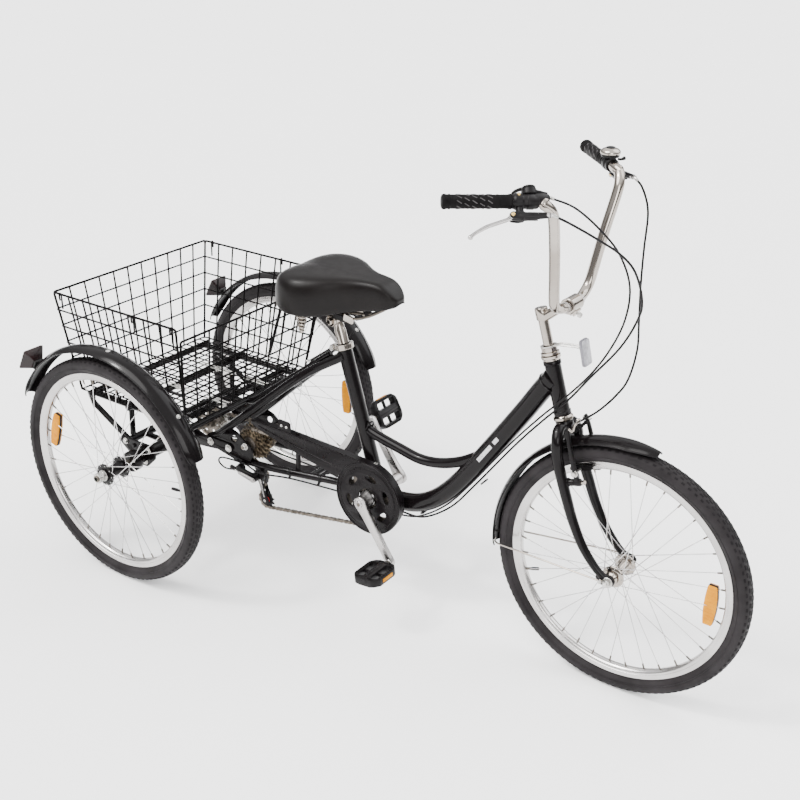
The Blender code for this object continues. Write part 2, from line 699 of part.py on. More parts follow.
def make_rear_axle(look):
    """The driving axle with its sprocket and brake drum."""
    sprocket = pitch_radius(AXLE_SPROCKET_TEETH) - CHAIN_HALF_HEIGHT - 0.6
    y, r = AXLE_CHAIN_Y, AXLE_RADIUS
    profile = [(AXLE_HALF, 0), (AXLE_HALF, r), (57, r), (57, 42), (31, 42), (31, 16),
               (y + 1.5, 16), (y + 1.5, sprocket), (y - 1.5, sprocket), (y - 1.5, 16), (-8, 16),
               (-8, r), (-AXLE_HALF, r), (-AXLE_HALF, 0)]
    finish(turned(profile, (0, 0, TYRE_RADIUS), (0, 1, 0), 16), "rear_axle", look)


def belt(wheels, offset):
    """A closed loop round chain wheels (x, z, radius, turn), offset outwards, as (x, z) points."""
    count = len(wheels)
    legs = []
    for i, (x, z, r, s) in enumerate(wheels):
        x2, z2, r2, s2 = wheels[(i + 1) % count]
        k = s2 * (r2 + s2 * offset) - s * (r + s * offset)
        span = math.hypot(x2 - x, z2 - z)
        legs.append(math.atan2(z2 - z, x2 - x) - math.asin(k / span))
    points = []
    for i, (x, z, r, s) in enumerate(wheels):
        start = legs[i - 1] - s * math.pi / 2
        end = legs[i] - s * math.pi / 2
        sweep = (end - start) % (2 * math.pi) if s > 0 else -((start - end) % (2 * math.pi))
        steps = max(2, round(abs(sweep) / math.radians(12)))
        for k in range(steps + 1):
            a = start + sweep * k / steps
            points.append((x + (r + s * offset) * math.cos(a), z + (r + s * offset) * math.sin(a)))
    return points


def make_chains(look):
    """The long drive chain and the short axle chain, as bands clear of their chain wheels."""
    wheels = [
        (BRACKET.x, BRACKET.z, pitch_radius(CHAINRING_TEETH), 1),
        (JACK.x, JACK.z, pitch_radius(COG_TEETH), 1),
        (GUIDE.x, GUIDE.z, pitch_radius(PULLEY_TEETH), -1),
        (TENSION.x, TENSION.z, pitch_radius(PULLEY_TEETH), 1),
    ]
    short = [
        (JACK.x, JACK.z, pitch_radius(JACK_SPROCKET_TEETH), 1),
        (0.0, TYRE_RADIUS, pitch_radius(AXLE_SPROCKET_TEETH), 1),
    ]
    for name, loop, y in (("drive_chain", wheels, CHAIN_Y), ("axle_chain", short, AXLE_CHAIN_Y)):
        bands = [belt(loop, CHAIN_HALF_HEIGHT), belt(loop, -CHAIN_HALF_HEIGHT)]
        finish(side_plate(bands, 2 * CHAIN_HALF_WIDTH, y), name, look)


def make_chain_guard(look):
    """The chain guard: a pierced disc outside the chainring and a long arm over the chain."""
    x, z, r = BRACKET.x, BRACKET.z, 95.0
    rim = circle(x, z, r, 26, -206, 78)
    arm = [(560, z + r + 1), (500, 382), (366, 386), (206, 391), (214, 374), (262, 360),
           (380, 332), (440, 322), (484, 310)]
    holes = [circle(x, z, 26.0, 20)]
    for k in range(6):
        a = math.radians(60 * k + 20)
        cx, cz = x + 58 * math.cos(a), z + 58 * math.sin(a)
        tangent = (-math.sin(a), math.cos(a))
        lens = []
        for t, w in ((-1, 0), (-0.5, 7), (0.5, 7), (1, 0), (0.5, -7), (-0.5, -7)):
            lens.append((cx + 17 * t * tangent[0] + w * math.cos(a),
                         cz + 17 * t * tangent[1] + w * math.sin(a)))
        holes.append(lens)
    plate = side_plate([rim + arm] + holes, 2.5, CHAIN_Y - 9.5)
    tab = block((318, CHAIN_Y - 9.5, 398), (40, 2.5, 34))
    flange = block((380, CHAIN_Y - 4.5, 386.5), (300, 12, 2.0))
    fuse("chain_guard", look, [plate, tab, flange])


def make_derailleur(look):
    """The rear derailleur: hanger body, knuckle, and cage plates with the pulley pins."""
    cage = bar_outline((GUIDE.x, GUIDE.z), (TENSION.x, TENSION.z), 11.0, 13.0)
    pieces = [side_plate([cage], 2.0, CHAIN_Y - 8.0), side_plate([cage], 2.0, CHAIN_Y + 8.0)]
    for wheel in (GUIDE, TENSION):
        start = wheel + Vector((0, CHAIN_Y - 8.5, 0))
        pieces.append(rod(start, start + Vector((0, 17, 0)), 3.0, 10))
    pieces.append(rod((186, -73.4, 252), (186, -88, 252), 11.0, 12))
    pieces.append(tube([(186, -83, 252), (206, -82.5, 240), (232, -76, 236)], 8.5, 8))
    pieces.append(rod((228, -86, 236), (228, -52, 236), 12.0, 14))
    fuse("derailleur", look, pieces)


def make_pulleys(look):
    """The guide and tension pulleys in the derailleur's cage."""
    rim = pitch_radius(PULLEY_TEETH) - CHAIN_HALF_HEIGHT - 0.6
    for name, wheel in (("guide_pulley", GUIDE), ("tension_pulley", TENSION)):
        ring = [(2.8, 3.0 + SLACK), (2.8, rim), (-2.8, rim), (-2.8, 3.0 + SLACK)]
        finish(turned(ring, (wheel.x, CHAIN_Y, wheel.z), (0, 1, 0), 18, True), name, look)


# Front end


def along(distance, ahead=0.0, y=0.0):
    """A point by its distance up the steering axis from the head tube's foot, and ahead of it."""
    return HEAD_LOW + STEER * distance + AHEAD * ahead + Vector((0.0, y, 0.0))


def make_headset(look):
    """The lower and upper headset cups."""
    low = [(-1.2, 13.2), (-1.2, 18.5), (-4, 22), (-10, 22), (-10, 13.2)]
    finish(turned(low, HEAD_LOW, STEER, 16, True), "headset_lower", look)
    top = [(30, 13.2), (30, 15), (16, 20), (6, 21), (1, 18.5), (1, 13.2)]
    finish(turned(top, HEAD_LOW + STEER * HEAD_LENGTH, STEER, 16, True), "headset_upper", look)


def brake_boss(side):
    """The middle of a rim brake arm's bearing, on its post ahead of the fork blade."""
    return Vector((1093.0, side * 45.0, 495.0)) + AHEAD * 33


def make_fork(look):
    """The fork: steerer, crown, two raked blades, their ends, the brake posts and the wheel axle."""
    pieces = [rod(along(-26), along(148), 12.7, 16), rod(along(-38), along(-11.5), 19.0, 14)]
    for side in (-1, 1):
        blade = [along(-22, 0, side * 8), along(-27, 0, side * 30), along(-48, 0, side * 45),
                 Vector((1075, side * 48, 546)), Vector((1090, side * 50, 502)),
                 Vector((1107, side * 52, 458)), Vector((1125, side * 53, 414)),
                 Vector((1153, side * 54, 362)), Vector((1186, side * 54, 322)),
                 Vector((1210, side * 54, 303))]
        widths = [1.0, 1.0, 1.0, 1.0, 0.98, 0.94, 0.88, 0.8, 0.72, 0.66]
        pieces.append(tube(blade, 12.5, 8, radii=widths))
        end = circle(WHEELBASE, TYRE_RADIUS, 14.0, 14)
        pieces.append(side_plate([end], 6.0, side * 54.0))
        post = brake_boss(side) - AHEAD * 33
        pieces.append(rod(post, post + AHEAD * 46, 4.0, 8))
        pieces.append(rod(post, post + AHEAD * 27, 8.0, 8))
    pieces.append(rod((WHEELBASE, -64, TYRE_RADIUS), (WHEELBASE, 64, TYRE_RADIUS), 5.0, 14))
    bore = rod(along(60), along(160), 11.4, 16)
    fuse("fork", look, pieces, [bore])


def make_stem(look):
    """The quill stem: post, forward extension and handlebar clamp."""
    top = Vector((986.0, 0.0, 851.0))
    clamp = Vector((1056.0, 0.0, 878.0))
    pieces = [rod(along(70), top, 11.1, 16), rod(top - STEER * 22, top + STEER * 4, 14.0, 14)]
    pieces.append(tube([top - STEER * 8, top + Vector((24, 0, 3)), clamp], 11.0, 10))
    pieces.append(rod(clamp + Vector((0, -21, 0)), clamp + Vector((0, 21, 0)), 17.0, 16))
    bore = rod(clamp + Vector((0, -30, 0)), clamp + Vector((0, 30, 0)), BAR_RADIUS + GAP, 16)
    fuse("stem", look, pieces, [bore])


def bar_route():
    """The handlebar's centre line, from the stem clamp to the right-hand end."""
    straight = GRIP_INNER - (GRIP_END - GRIP_INNER).normalized() * 43
    return [(1056, -26, 878), (1053, -50, 882), (1053, -70, 894), (1055, -80, 912),
            (1059, -92, 955), (1064, -108, 1010), (1071, -133, 1080), (1070, -144, 1106),
            (1060, -158, 1122), straight, GRIP_END]


def make_handlebar(look):
    """The high-rise handlebar, bent from one tube."""
    right = [Vector((1056, 0, 878))] + [Vector(p) for p in bar_route()]
    left = mirrored(right, 1)
    whole = list(reversed(right)) + left[1:]
    finish(solid(tube(whole, BAR_RADIUS, 10)), "handlebar", look)


def hand(side):
    """Directions at a grip: outwards along the bar, and from the bar towards the lever."""
    out = (GRIP_END - GRIP_INNER).normalized()
    level = Vector((-out.y, out.x, 0.0)).normalized()
    level = level if level.x > 0 else -level
    drop = level * math.cos(LEVER_DROP) - Vector((0, 0, 1)) * math.sin(LEVER_DROP)
    inner = GRIP_INNER.copy()
    for vector in (out, drop, inner):
        vector.y *= -side
    return inner, out, drop


def reach(side, run, away, up=0.0):
    """A point near a grip: along the bar from its inner end, away towards the lever, and up."""
    inner, out, drop = hand(side)
    normal = out.cross(drop) * (1 if side < 0 else -1)
    return inner + out * run + drop * away + normal * up


def make_grips(look):
    """Moulded grips with closed outer ends."""
    bore = BAR_RADIUS + GAP
    length = (GRIP_END - GRIP_INNER).length
    for name, side in (("right", -1), ("left", 1)):
        inner, out, _ = hand(side)
        profile = [(length + 6, 0), (length + 6, 12), (length + 3, 14.4), (length - 4, 14.4),
                   (length - 8, 13.3), (8, 13.3), (4, 14.4), (0, 14.4), (0, bore),
                   (length + 0.6, bore), (length + 0.6, 0)]
        finish(turned(profile, inner, out, 16), f"grip_{name}", look)


def make_brakes(looks):
    """Lever brackets clamped to the bar, and the lever blades that pivot in them."""
    bore = BAR_RADIUS + GAP
    for name, side in (("right", -1), ("left", 1)):
        inner, out, drop = hand(side)
        ring = turned([(7, bore), (7, 15.5), (-7, 15.5), (-7, bore)], reach(side, -12, 0), out, 16, True)
        turn = axes_matrix(out, drop)
        pieces = [
            ring,
            block(reach(side, -14, 21), (18, 14, 13), turn),
            rod(reach(side, -8, 32, 3), reach(side, -57, 34, 14), 7.5, 10),
            block(reach(side, -13, 31), (14, 13, 21), turn),
            rod(reach(side, -55, 34, 14), reach(side, -69, 35, 17), 4.5, 8),
        ]
        for cheek in (-9, 9):
            pieces.append(block(reach(side, -3, 31, cheek), (24, 12, 3), turn))
        fuse(f"brake_bracket_{name}", looks["plastic"], pieces)
        blade = [reach(side, 1, 29), reach(side, 10, 36), reach(side, 36, 45), reach(side, 62, 56),
                 reach(side, 83, 70)]
        handle = tube(smooth(blade, 2), 5.0, 8)
        boss = rod(reach(side, 2, 30, -7), reach(side, 2, 30, 7), 6.5, 12)
        fuse(f"brake_lever_{name}", looks["alloy"], [boss, handle])


def shifter_centre():
    """The bar's centre under the shifter."""
    return reach(-1, -35, 0)


def make_shifter(looks):
    """The thumb shifter on the right: a clamped body and its lever."""
    bore = BAR_RADIUS + GAP
    _, out, drop = hand(-1)
    up = -drop
    centre = shifter_centre()
    ring = turned([(5, bore), (5, 15.5), (-5, 15.5), (-5, bore)], centre, out, 16, True)
    body = rod(centre + up * 13, centre + up * 24, 14.5, 16)
    exit_port = rod(centre + up * 18 - out * 8, centre + up * 18 - out * 26, 4.5, 10)
    fuse("shifter_body", looks["plastic"], [ring, body, exit_port])
    hub = rod(centre + up * 24.4, centre + up * 29, 13.0, 16)
    side = out.cross(up)
    paddle = tube([centre + up * 28.4, centre + up * 29 + out * 16 + side * 10,
                   centre + up * 27 + out * 24 + side * 22], 3.6, 8)
    fuse("shifter_lever", looks["plastic"], [hub, paddle])


def bell_centre():
    """The bar's centre under the bell."""
    return reach(1, -16, 0)


def bell_root():
    """The root of the bell's striker lever."""
    return bell_centre() + Vector((19.0, 0.0, 12.0))


def make_bell(looks):
    """The thumb bell on the left: a clamped base under a dome, and its striker lever."""
    bore = BAR_RADIUS + GAP
    _, out, _ = hand(1)
    ring = turned([(4.5, bore), (4.5, 14.5), (-4.5, 14.5), (-4.5, bore)], reach(1, -29.5, 0), out, 16, True)
    centre = bell_centre()
    up = Vector((0, 0, 1))
    link = block(reach(1, -27.8, 0) + up * 16.3, (14.5, 12, 5.5), axes_matrix(out, up.cross(out)))
    dome = [(34, 0), (34, 5), (32, 12), (28, 17), (21.5, 19.5), (19.5, 19.5), (19.5, 14),
            (16.2, 14), (16.2, 0)]
    fuse("bell_body", looks["chrome"], [ring, link, turned(dome, centre, up, 14)])
    root = bell_root()
    lever = tube([root, root + Vector((10, -4, 2)), root + Vector((17, -8, 6))], 2.6, 6)
    fuse("bell_lever", looks["plastic"], [lever])


def make_front_reflector(look):
    """The front reflector on its bracket from the headset."""
    lens = block((1096, 0, 781), (9, 32, 58), Matrix.Rotation(math.radians(-14), 3, "Y"))
    strap = tube([along(154, 15.8), along(156, 40), (1094, 0, 786)], 3.5, 8)
    fuse("front_reflector", look, [lens, strap])


def make_brake_arms(look):
    """The two arms of the rim brake on the fork, each with its pad."""
    for name, side in (("right", -1), ("left", 1)):
        foot = brake_boss(side)
        top = foot + STEER * 121 + Vector((0, -side * 4, 0))
        arm = tube([foot - STEER * 4, foot + STEER * 30 + Vector((0, side * 3, 0)),
                    foot + STEER * 90 + Vector((0, side * 2, 0)), top], 5.0, 8)
        boss = rod(foot - AHEAD * 5.5, foot + AHEAD * 8, 8.0, 14)
        pad_centre = foot + STEER * 22
        shoe = block(pad_centre + Vector((0, -side * 26.7, 0)), (52, 9, 9), axes_matrix(AHEAD, (0, 1, 0)))
        post = rod(pad_centre, pad_centre + Vector((0, -side * 24, 0)), 3.4, 8)
        bore = rod(foot - AHEAD * 12, foot + AHEAD * 20, 4.0 + SLACK, 12)
        fuse(f"brake_arm_{name}", look, [arm, boss, shoe, post], [bore])


# Cables: each runs between two held ends, on points chosen along its real route


SHIFT_ROUTE = [(1062, -142, 1132), (1110, -130, 1118), (1153, -105, 1078), (1187, -82, 1030),
               (1205, -62, 965), (1196, -48, 891), (1166, -38, 817), (1125, -32, 749),
               (1070, -30, 680), (1018, -28, 622), (940, -14, 527), (838, -10, 388),
               (775, -10, 312), (700, -10, 256), (640, -14, 242), (590, -30, 243),
               (500, -38, 261), (420, -48, 263), (330, -60, 261), (250, -76, 256),
               (205, -79, 268), (180, -80, 269), (125, -84, 266), (116, -86, 252),
               (138, -86, 240), (172, -82, 244)]
BRAKE_ROUTE = [(1090, -174, 1110), (1118, -143, 1088), (1160, -115, 1060), (1193, -95, 1036),
               (1218, -75, 1001), (1231, -58, 943), (1221, -45, 896), (1185, -34, 824),
               (1122, -24, 739), (1075, -23, 674), (1020, -21, 611), (946, -4, 521),
               (845, 0, 384), (782, 0, 305), (706, 2, 250), (640, 6, 240), (590, 16, 240),
               (500, 24, 252), (380, 24, 262), (220, 28, 262), (100, 34, 262), (40, 40, 252)]
FRONT_BRAKE_ROUTE = [(1090, 174, 1110), (1112, 168, 1092), (1132, 160, 1048), (1141, 138, 975),
                     (1152, 115, 907), (1166, 92, 840), (1176, 75, 781), (1168, 62, 716),
                     (1146, 54, 674), (1116, 44, 636), (1096, 22, 620), (1090, 0, 618)]


def make_cables(look):
    """The shift cable and the two brake cables, each in its outer casing."""
    finish(solid(tube(SHIFT_ROUTE, 2.2, 6)), "shift_cable", look)
    finish(solid(tube(BRAKE_ROUTE, 2.4, 6)), "rear_brake_cable", look)
    finish(solid(tube(smooth(FRONT_BRAKE_ROUTE, 2), 2.4, 6)), "front_brake_cable", look)


# Joints


def hang(name, pivot, pieces, parent=None):
    """Parent pieces to an empty on their joint's axis, leaving them where they are."""
    joint = bpy.data.objects.new(name, None)
    joint.empty_display_size = 20 * MM
    joint.location = at(pivot)
    joint.parent = parent
    if parent:
        joint.location -= parent.matrix_world.translation
    PARTS.objects.link(joint)
    bpy.context.view_layer.update()
    for piece in pieces:
        piece = bpy.data.objects[piece]
        piece.parent = joint
        piece.matrix_parent_inverse = joint.matrix_world.inverted()
    return joint


def make_joints():
    """An empty on the axis of every joint, with the pieces it carries."""
    hub = Vector((0.0, 0.0, TYRE_RADIUS))
    steering = hang("steering_joint", HEAD_LOW, [
        "fork", "front_fender", "stem", "handlebar", "grip_left", "grip_right",
        "brake_bracket_left", "brake_bracket_right", "shifter_body", "bell_body",
        "front_reflector", "front_brake_cable",
    ])
    wheel = ["front_tyre", "front_rim", "front_hub"]
    hang("front_wheel_joint", hub + Vector((WHEELBASE, 0, 0)), wheel, steering)
    hang("left_wheel_joint", beside(hub, HALF_TRACK), ["left_tyre", "left_rim", "left_hub"])
    hang("rear_axle_joint", hub, ["right_tyre", "right_rim", "right_hub", "rear_axle"])
    cranks = hang("crank_joint", BRACKET, ["crank_right", "crank_left", "chainring"])
    hang("freewheel_joint", JACK, ["freewheel"])
    hang("guide_joint", beside(GUIDE, CHAIN_Y), ["guide_pulley"])
    hang("tension_joint", beside(TENSION, CHAIN_Y), ["tension_pulley"])
    for name, side in (("right", -1), ("left", 1)):
        pedal = beside(BRACKET + crank_reach(side), side * 145)
        hang(f"pedal_{name}_joint", pedal, [f"pedal_{name}"], cranks)
        hang(f"brake_lever_{name}_joint", reach(side, 2, 30), [f"brake_lever_{name}"], steering)
        hang(f"brake_arm_{name}_joint", brake_boss(side), [f"brake_arm_{name}"], steering)
    hang("shifter_joint", shifter_centre(), ["shifter_lever"], steering)
    hang("bell_joint", bell_root(), ["bell_lever"], steering)
    post = hang("seat_post_joint", SEAT_TOP, ["seat_post"])
    hang("saddle_joint", SEAT_PIVOT, ["saddle", "saddle_rails"], post)


def main():
    """Build every piece."""
    for piece in list(bpy.data.objects):
        bpy.data.objects.remove(piece)
    bpy.context.scene.collection.children.link(PARTS)
    looks = {
        "gloss_black": make_material("gloss_black_paint", (0.012, 0.012, 0.013), 0.28),
        "wire": make_material("black_wire", (0.014, 0.014, 0.015), 0.42),
        "chrome": make_material("chrome", (0.72, 0.71, 0.70), 0.14, 1.0),
        "alloy": make_material("alloy", (0.66, 0.66, 0.67), 0.32, 1.0),
        "steel": make_material("dark_steel", (0.10, 0.085, 0.07), 0.45, 1.0),
        "tyre": make_material("tyre_rubber", (0.022, 0.021, 0.022), 0.85),
        "rubber": make_material("grip_rubber", (0.02, 0.02, 0.02), 0.75),
        "plastic": make_material("black_plastic", (0.02, 0.02, 0.021), 0.45),
        "lamp": make_material("lamp_smoke", (0.05, 0.012, 0.012), 0.25),
        "clear": make_material("clear_reflector", (0.8, 0.8, 0.8), 0.2),
        "vinyl": make_material("saddle_vinyl", (0.03, 0.028, 0.029), 0.5),
    }
    make_main_frame(looks["gloss_black"])
    make_rear_carrier(looks["gloss_black"])
    make_basket_rack(looks["gloss_black"])
    make_basket(looks["wire"])
    make_rear_fenders(looks)
    make_front_fender(looks["gloss_black"])
    make_wheels(looks)
    make_rear_axle(looks["steel"])
    make_seat_clamp(looks["chrome"])
    make_seat_post(looks["chrome"])
    make_saddle_rails(looks["chrome"])
    make_saddle(looks["vinyl"])
    make_crankset(looks)
    make_pedals(looks["plastic"])
    make_freewheel(looks["steel"])
    make_chains(looks["steel"])
    make_chain_guard(looks["gloss_black"])
    make_derailleur(looks["plastic"])
    make_pulleys(looks["plastic"])
    make_headset(looks["chrome"])
    make_fork(looks["gloss_black"])
    make_stem(looks["chrome"])
    make_handlebar(looks["chrome"])
    make_grips(looks["rubber"])
    make_brakes(looks)
    make_shifter(looks)
    make_bell(looks)
    make_front_reflector(looks["clear"])
    make_brake_arms(looks["steel"])
    make_cables(looks["rubber"])
    make_joints()


main()
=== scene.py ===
"""Adult tricycle: the finished look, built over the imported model's frame.

Points and sizes are in millimetres from the ground under the middle of the rear axle, +X forwards,
+Y to the rider's left, +Z up. place() turns them into the model's own frame, in metres.
"""

import math

import bmesh
import bpy
from mathutils import Matrix, Vector


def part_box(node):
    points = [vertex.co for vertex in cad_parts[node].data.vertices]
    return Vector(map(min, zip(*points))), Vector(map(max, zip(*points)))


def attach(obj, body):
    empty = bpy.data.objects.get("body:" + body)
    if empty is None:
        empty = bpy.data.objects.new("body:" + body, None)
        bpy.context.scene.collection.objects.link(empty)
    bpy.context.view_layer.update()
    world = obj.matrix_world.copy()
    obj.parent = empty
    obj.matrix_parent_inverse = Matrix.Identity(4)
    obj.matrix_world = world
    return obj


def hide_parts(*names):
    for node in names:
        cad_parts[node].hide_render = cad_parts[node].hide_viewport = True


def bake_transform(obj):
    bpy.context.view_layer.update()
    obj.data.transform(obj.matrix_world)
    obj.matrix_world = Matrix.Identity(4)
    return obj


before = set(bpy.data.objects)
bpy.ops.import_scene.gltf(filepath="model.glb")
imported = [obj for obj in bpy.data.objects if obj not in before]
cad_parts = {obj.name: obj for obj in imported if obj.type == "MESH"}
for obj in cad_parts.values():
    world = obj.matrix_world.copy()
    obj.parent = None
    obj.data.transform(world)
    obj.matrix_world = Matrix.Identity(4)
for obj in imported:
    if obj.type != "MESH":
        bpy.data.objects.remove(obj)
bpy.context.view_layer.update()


def v(*values):
    """A vector from three numbers."""
    return Vector(values)


MM = 0.001
WELD_DISTANCE = 0.02 * MM
THINNEST = 0.02
WHEELBASE = 1220.0
TYRE_RADIUS = 297.5
HALF_TRACK = 341.0
X_MID = WHEELBASE + TYRE_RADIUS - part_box("front_tyre")[1][0] / MM

HEAD_LOW = v(1055.0, 0.0, 628.0)
STEER = v(-0.294, 0.0, 0.956).normalized()
AHEAD = v(STEER.z, 0.0, -STEER.x)
HEAD_LENGTH = 122.0
BRACKET = v(578.0, 0.0, 283.0)
SEAT_TOP = v(464.0, 0.0, 645.0)
SEAT_AXIS = (SEAT_TOP - v(575.0, 0.0, 283.0)).normalized()
SEAT_PIVOT = SEAT_TOP + SEAT_AXIS * 62
JACK = v(199.0, 0.0, 316.0)
GUIDE = v(225.0, 0.0, 233.0)
TENSION = v(243.0, 0.0, 163.0)
AXLE = v(0.0, 0.0, TYRE_RADIUS)
CHAIN_Y = -45.0
CHAIN_PITCH = 12.7
CRANK_ANGLE = math.radians(-56.2)
CRANK_LENGTH = 160.0
CRANK_Y = 82.0
GRIP_INNER = v(1013.0, -197.0, 1128.0)
GRIP_END = v(921.0, -283.0, 1131.0)
BAR_RADIUS = 11.1
LEVER_DROP = math.radians(50)
FLOOR_Z = 417.5
RIGHT, LEFT = -1, 1
FORWARD, ACROSS, UP = v(1, 0, 0), v(0, 1, 0), v(0, 0, 1)
SIDES = (("right", RIGHT), ("left", LEFT))


# Vectors


def place(point):
    """A point in the model's own frame, in metres."""
    return Vector(((point[0] - X_MID) * MM, point[1] * MM, point[2] * MM))


def beside(point, y):
    """The same point moved sideways to a given y."""
    return v(point[0], y, point[2])


def flip(points, side):
    """Right-hand points, or their mirror images on the rider's left."""
    return [v(p[0], -side * p[1], p[2]) for p in points]


def along(distance, ahead=0.0, y=0.0):
    """A point by its distance up the steering axis from the head tube's foot, and ahead of it."""
    return HEAD_LOW + STEER * distance + AHEAD * ahead + v(0.0, y, 0.0)


def polar(centre, radius, degrees, y=None):
    """A point on a circle in the plane of a wheel."""
    a = math.radians(degrees)
    height = centre[1] if y is None else y
    return Vector((centre[0] + radius * math.cos(a), height, centre[2] + radius * math.sin(a)))


def basis(axis):
    """Two directions square to an axis."""
    axis = Vector(axis).normalized()
    helper = UP if abs(axis.z) < 0.9 else v(1, 0, 0)
    first = (helper - axis * helper.dot(axis)).normalized()
    return first, axis.cross(first)


def smooth(points, steps=6):
    """Points along a smooth curve through the given ones."""
    nodes = [Vector(p) for p in points]
    nodes = [2 * nodes[0] - nodes[1]] + nodes + [2 * nodes[-1] - nodes[-2]]
    result = []
    for i in range(1, len(nodes) - 2):
        a, b, c, d = nodes[i - 1 : i + 3]
        for k in range(steps):
            t = k / steps
            curved = (2 * a - 5 * b + 4 * c - d) * t * t + (3 * b - a - 3 * c + d) * t * t * t
            result.append(b + 0.5 * ((c - a) * t + curved))
    return result + [nodes[-2]]


def bend_round(points, radius=12.0, steps=5):
    """A path of straight runs with each inner corner rounded."""
    points = [Vector(p) for p in points]
    result = [points[0]]
    for a, b, c in zip(points, points[1:], points[2:]):
        back, on = (a - b), (c - b)
        cut = min(radius, back.length * 0.45, on.length * 0.45)
        start, end = b + back.normalized() * cut, b + on.normalized() * cut
        for k in range(steps + 1):
            t = k / steps
            result.append(start * (1 - t) ** 2 + b * 2 * t * (1 - t) + end * t * t)
    return result + [points[-1]]


def add_object(name, data):
    """A new object, linked into the scene."""
    obj = bpy.data.objects.new(name, data)
    bpy.context.scene.collection.objects.link(obj)
    return obj


# Shapes: vertices and faces gathered in millimetres, then made one object


class Shape:
    """Vertices and faces of one piece, gathered from several forms."""

    def __init__(self):
        self.verts = []
        self.faces = []

    def add(self, verts, faces):
        """Take in a form's vertices and faces."""
        base = len(self.verts)
        self.verts += [Vector(p) for p in verts]
        self.faces += [[i + base for i in face] for face in faces]
        return self

    def rings(self, rings, closed=False):
        """Join rings of points into a skin. closed joins the last ring to the first."""
        count = len(rings[0])
        verts = [p for ring in rings for p in ring]
        faces = []
        spans = len(rings) if closed else len(rings) - 1
        for i in range(spans):
            a, b = i * count, ((i + 1) % len(rings)) * count
            for k in range(count):
                n = (k + 1) % count
                faces.append([a + k, a + n, b + n, b + k])
        if not closed:
            faces.append(list(range(count))[::-1])
            faces.append([len(verts) - count + k for k in range(count)])
        return self.add(verts, faces)

    def tube(self, points, radius, sides=12, closed=False, radii=None, squash=None):
        """A round tube along points. radii scales it along its length; squash is (axis, factor)."""
        points = [Vector(p) for p in points]
        count = len(points)
        normal = None
        rings = []
        for i, point in enumerate(points):
            before = points[i - 1] if i or closed else point
            after = points[(i + 1) % count] if i < count - 1 or closed else point
            way = (after - before).normalized()
            if normal is None:
                normal = basis(way)[0]
            normal = (normal - way * normal.dot(way)).normalized()
            other = way.cross(normal)
            r = radius * (radii[i] if radii else 1.0)
            ring = []
            for k in range(sides):
                a = 2 * math.pi * k / sides
                offset = (normal * math.cos(a) + other * math.sin(a)) * r
                if squash:
                    offset -= squash[0] * offset.dot(squash[0]) * (1 - squash[1])
                ring.append(point + offset)
            rings.append(ring)
        if not closed and radius > 1.0:
            for index, step in ((0, 1), (-1, -1)):
                way = (points[index] - points[index + step]).normalized()
                r = radius * (radii[index] if radii else 1.0) * 0.12
                shrunk = [points[index] + (p - points[index]) * 0.88 + way * r * 0.6 for p in rings[index]]
                rings.insert(0 if index == 0 else len(rings), shrunk)
        return self.rings(rings, closed)

    def hoop(self, centre, first, second, radius, thickness, steps=24, sides=8):
        """A wire ring in the plane of two directions."""
        angles = [2 * math.pi * k / steps for k in range(steps)]
        ring = [centre + (first * math.cos(a) + second * math.sin(a)) * radius for a in angles]
        return self.tube(ring, thickness, sides, closed=True)

    def lathe(self, profile, centre, axis, steps=48, ring=False):
        """Turn a profile of (height along axis, radius) round an axis. ring closes the profile."""
        axis = Vector(axis).normalized()
        first, second = basis(axis)
        centre = Vector(centre)
        rings = []
        for i in range(steps):
            a = math.radians(360 * i / steps)
            out = first * math.cos(a) + second * math.sin(a)
            rings.append([centre + axis * h + out * max(r, THINNEST) for h, r in profile])
        if ring:
            return self.rings(rings, closed=True)
        size = len(profile)
        verts = [p for ring_points in rings for p in ring_points]
        faces = []
        for i in range(steps):
            a, b = i * size, ((i + 1) % steps) * size
            faces += [[a + k, a + k + 1, b + k + 1, b + k] for k in range(size - 1)]
        return self.add(verts, faces)

    def rod(self, start, end, radius, steps=24, edge=0.6):
        """A round bar with softened ends."""
        start, end = Vector(start), Vector(end)
        length = (end - start).length
        edge = min(edge, radius * 0.4, length * 0.3)
        profile = [
            (length, 0), (length, radius - edge), (length - edge, radius), (edge, radius),
            (0, radius - edge), (0, 0)]
        return self.lathe(profile, start, end - start, steps)

    def pin(self, centre, start, end, radius, steps=24, edge=0.6):
        """A round bar across the machine between two values of y."""
        return self.rod(beside(centre, start), beside(centre, end), radius, steps, edge)

    def ball(self, centre, radius, steps=16, squash=1.0, axis=UP):
        """A ball, or a flattened one."""
        rows = steps // 2
        angles = [math.pi * i / rows for i in range(rows + 1)]
        profile = [(radius * squash * math.cos(a), radius * math.sin(a)) for a in angles]
        return self.lathe(profile, centre, axis, steps)

    def box(self, centre, size, turn=None, taper=1.0):
        """A box along the axes, or turned. taper narrows its top."""
        turn = turn or Matrix.Identity(3)
        verts = []
        for z in (-0.5, 0.5):
            k = taper if z > 0 else 1.0
            for x, y in ((-0.5, -0.5), (0.5, -0.5), (0.5, 0.5), (-0.5, 0.5)):
                local = v(x * size[0] * k, y * size[1] * k, z * size[2])
                verts.append(Vector(centre) + turn @ local)
        faces = [[3, 2, 1, 0], [4, 5, 6, 7]]
        faces += [[i, (i + 1) % 4, 4 + (i + 1) % 4, 4 + i] for i in range(4)]
        return self.add(verts, faces)

    def prism(self, outline, thickness, origin, turn):
        """A plate without holes, from an outline in its own plane."""
        count = len(outline)
        verts = []
        for z in (-thickness / 2, thickness / 2):
            verts += [Vector(origin) + turn @ v(p[0], p[1], z) for p in outline]
        faces = [list(range(count))[::-1], list(range(count, 2 * count))]
        faces += [[k, (k + 1) % count, count + (k + 1) % count, count + k] for k in range(count)]
        return self.add(verts, faces)

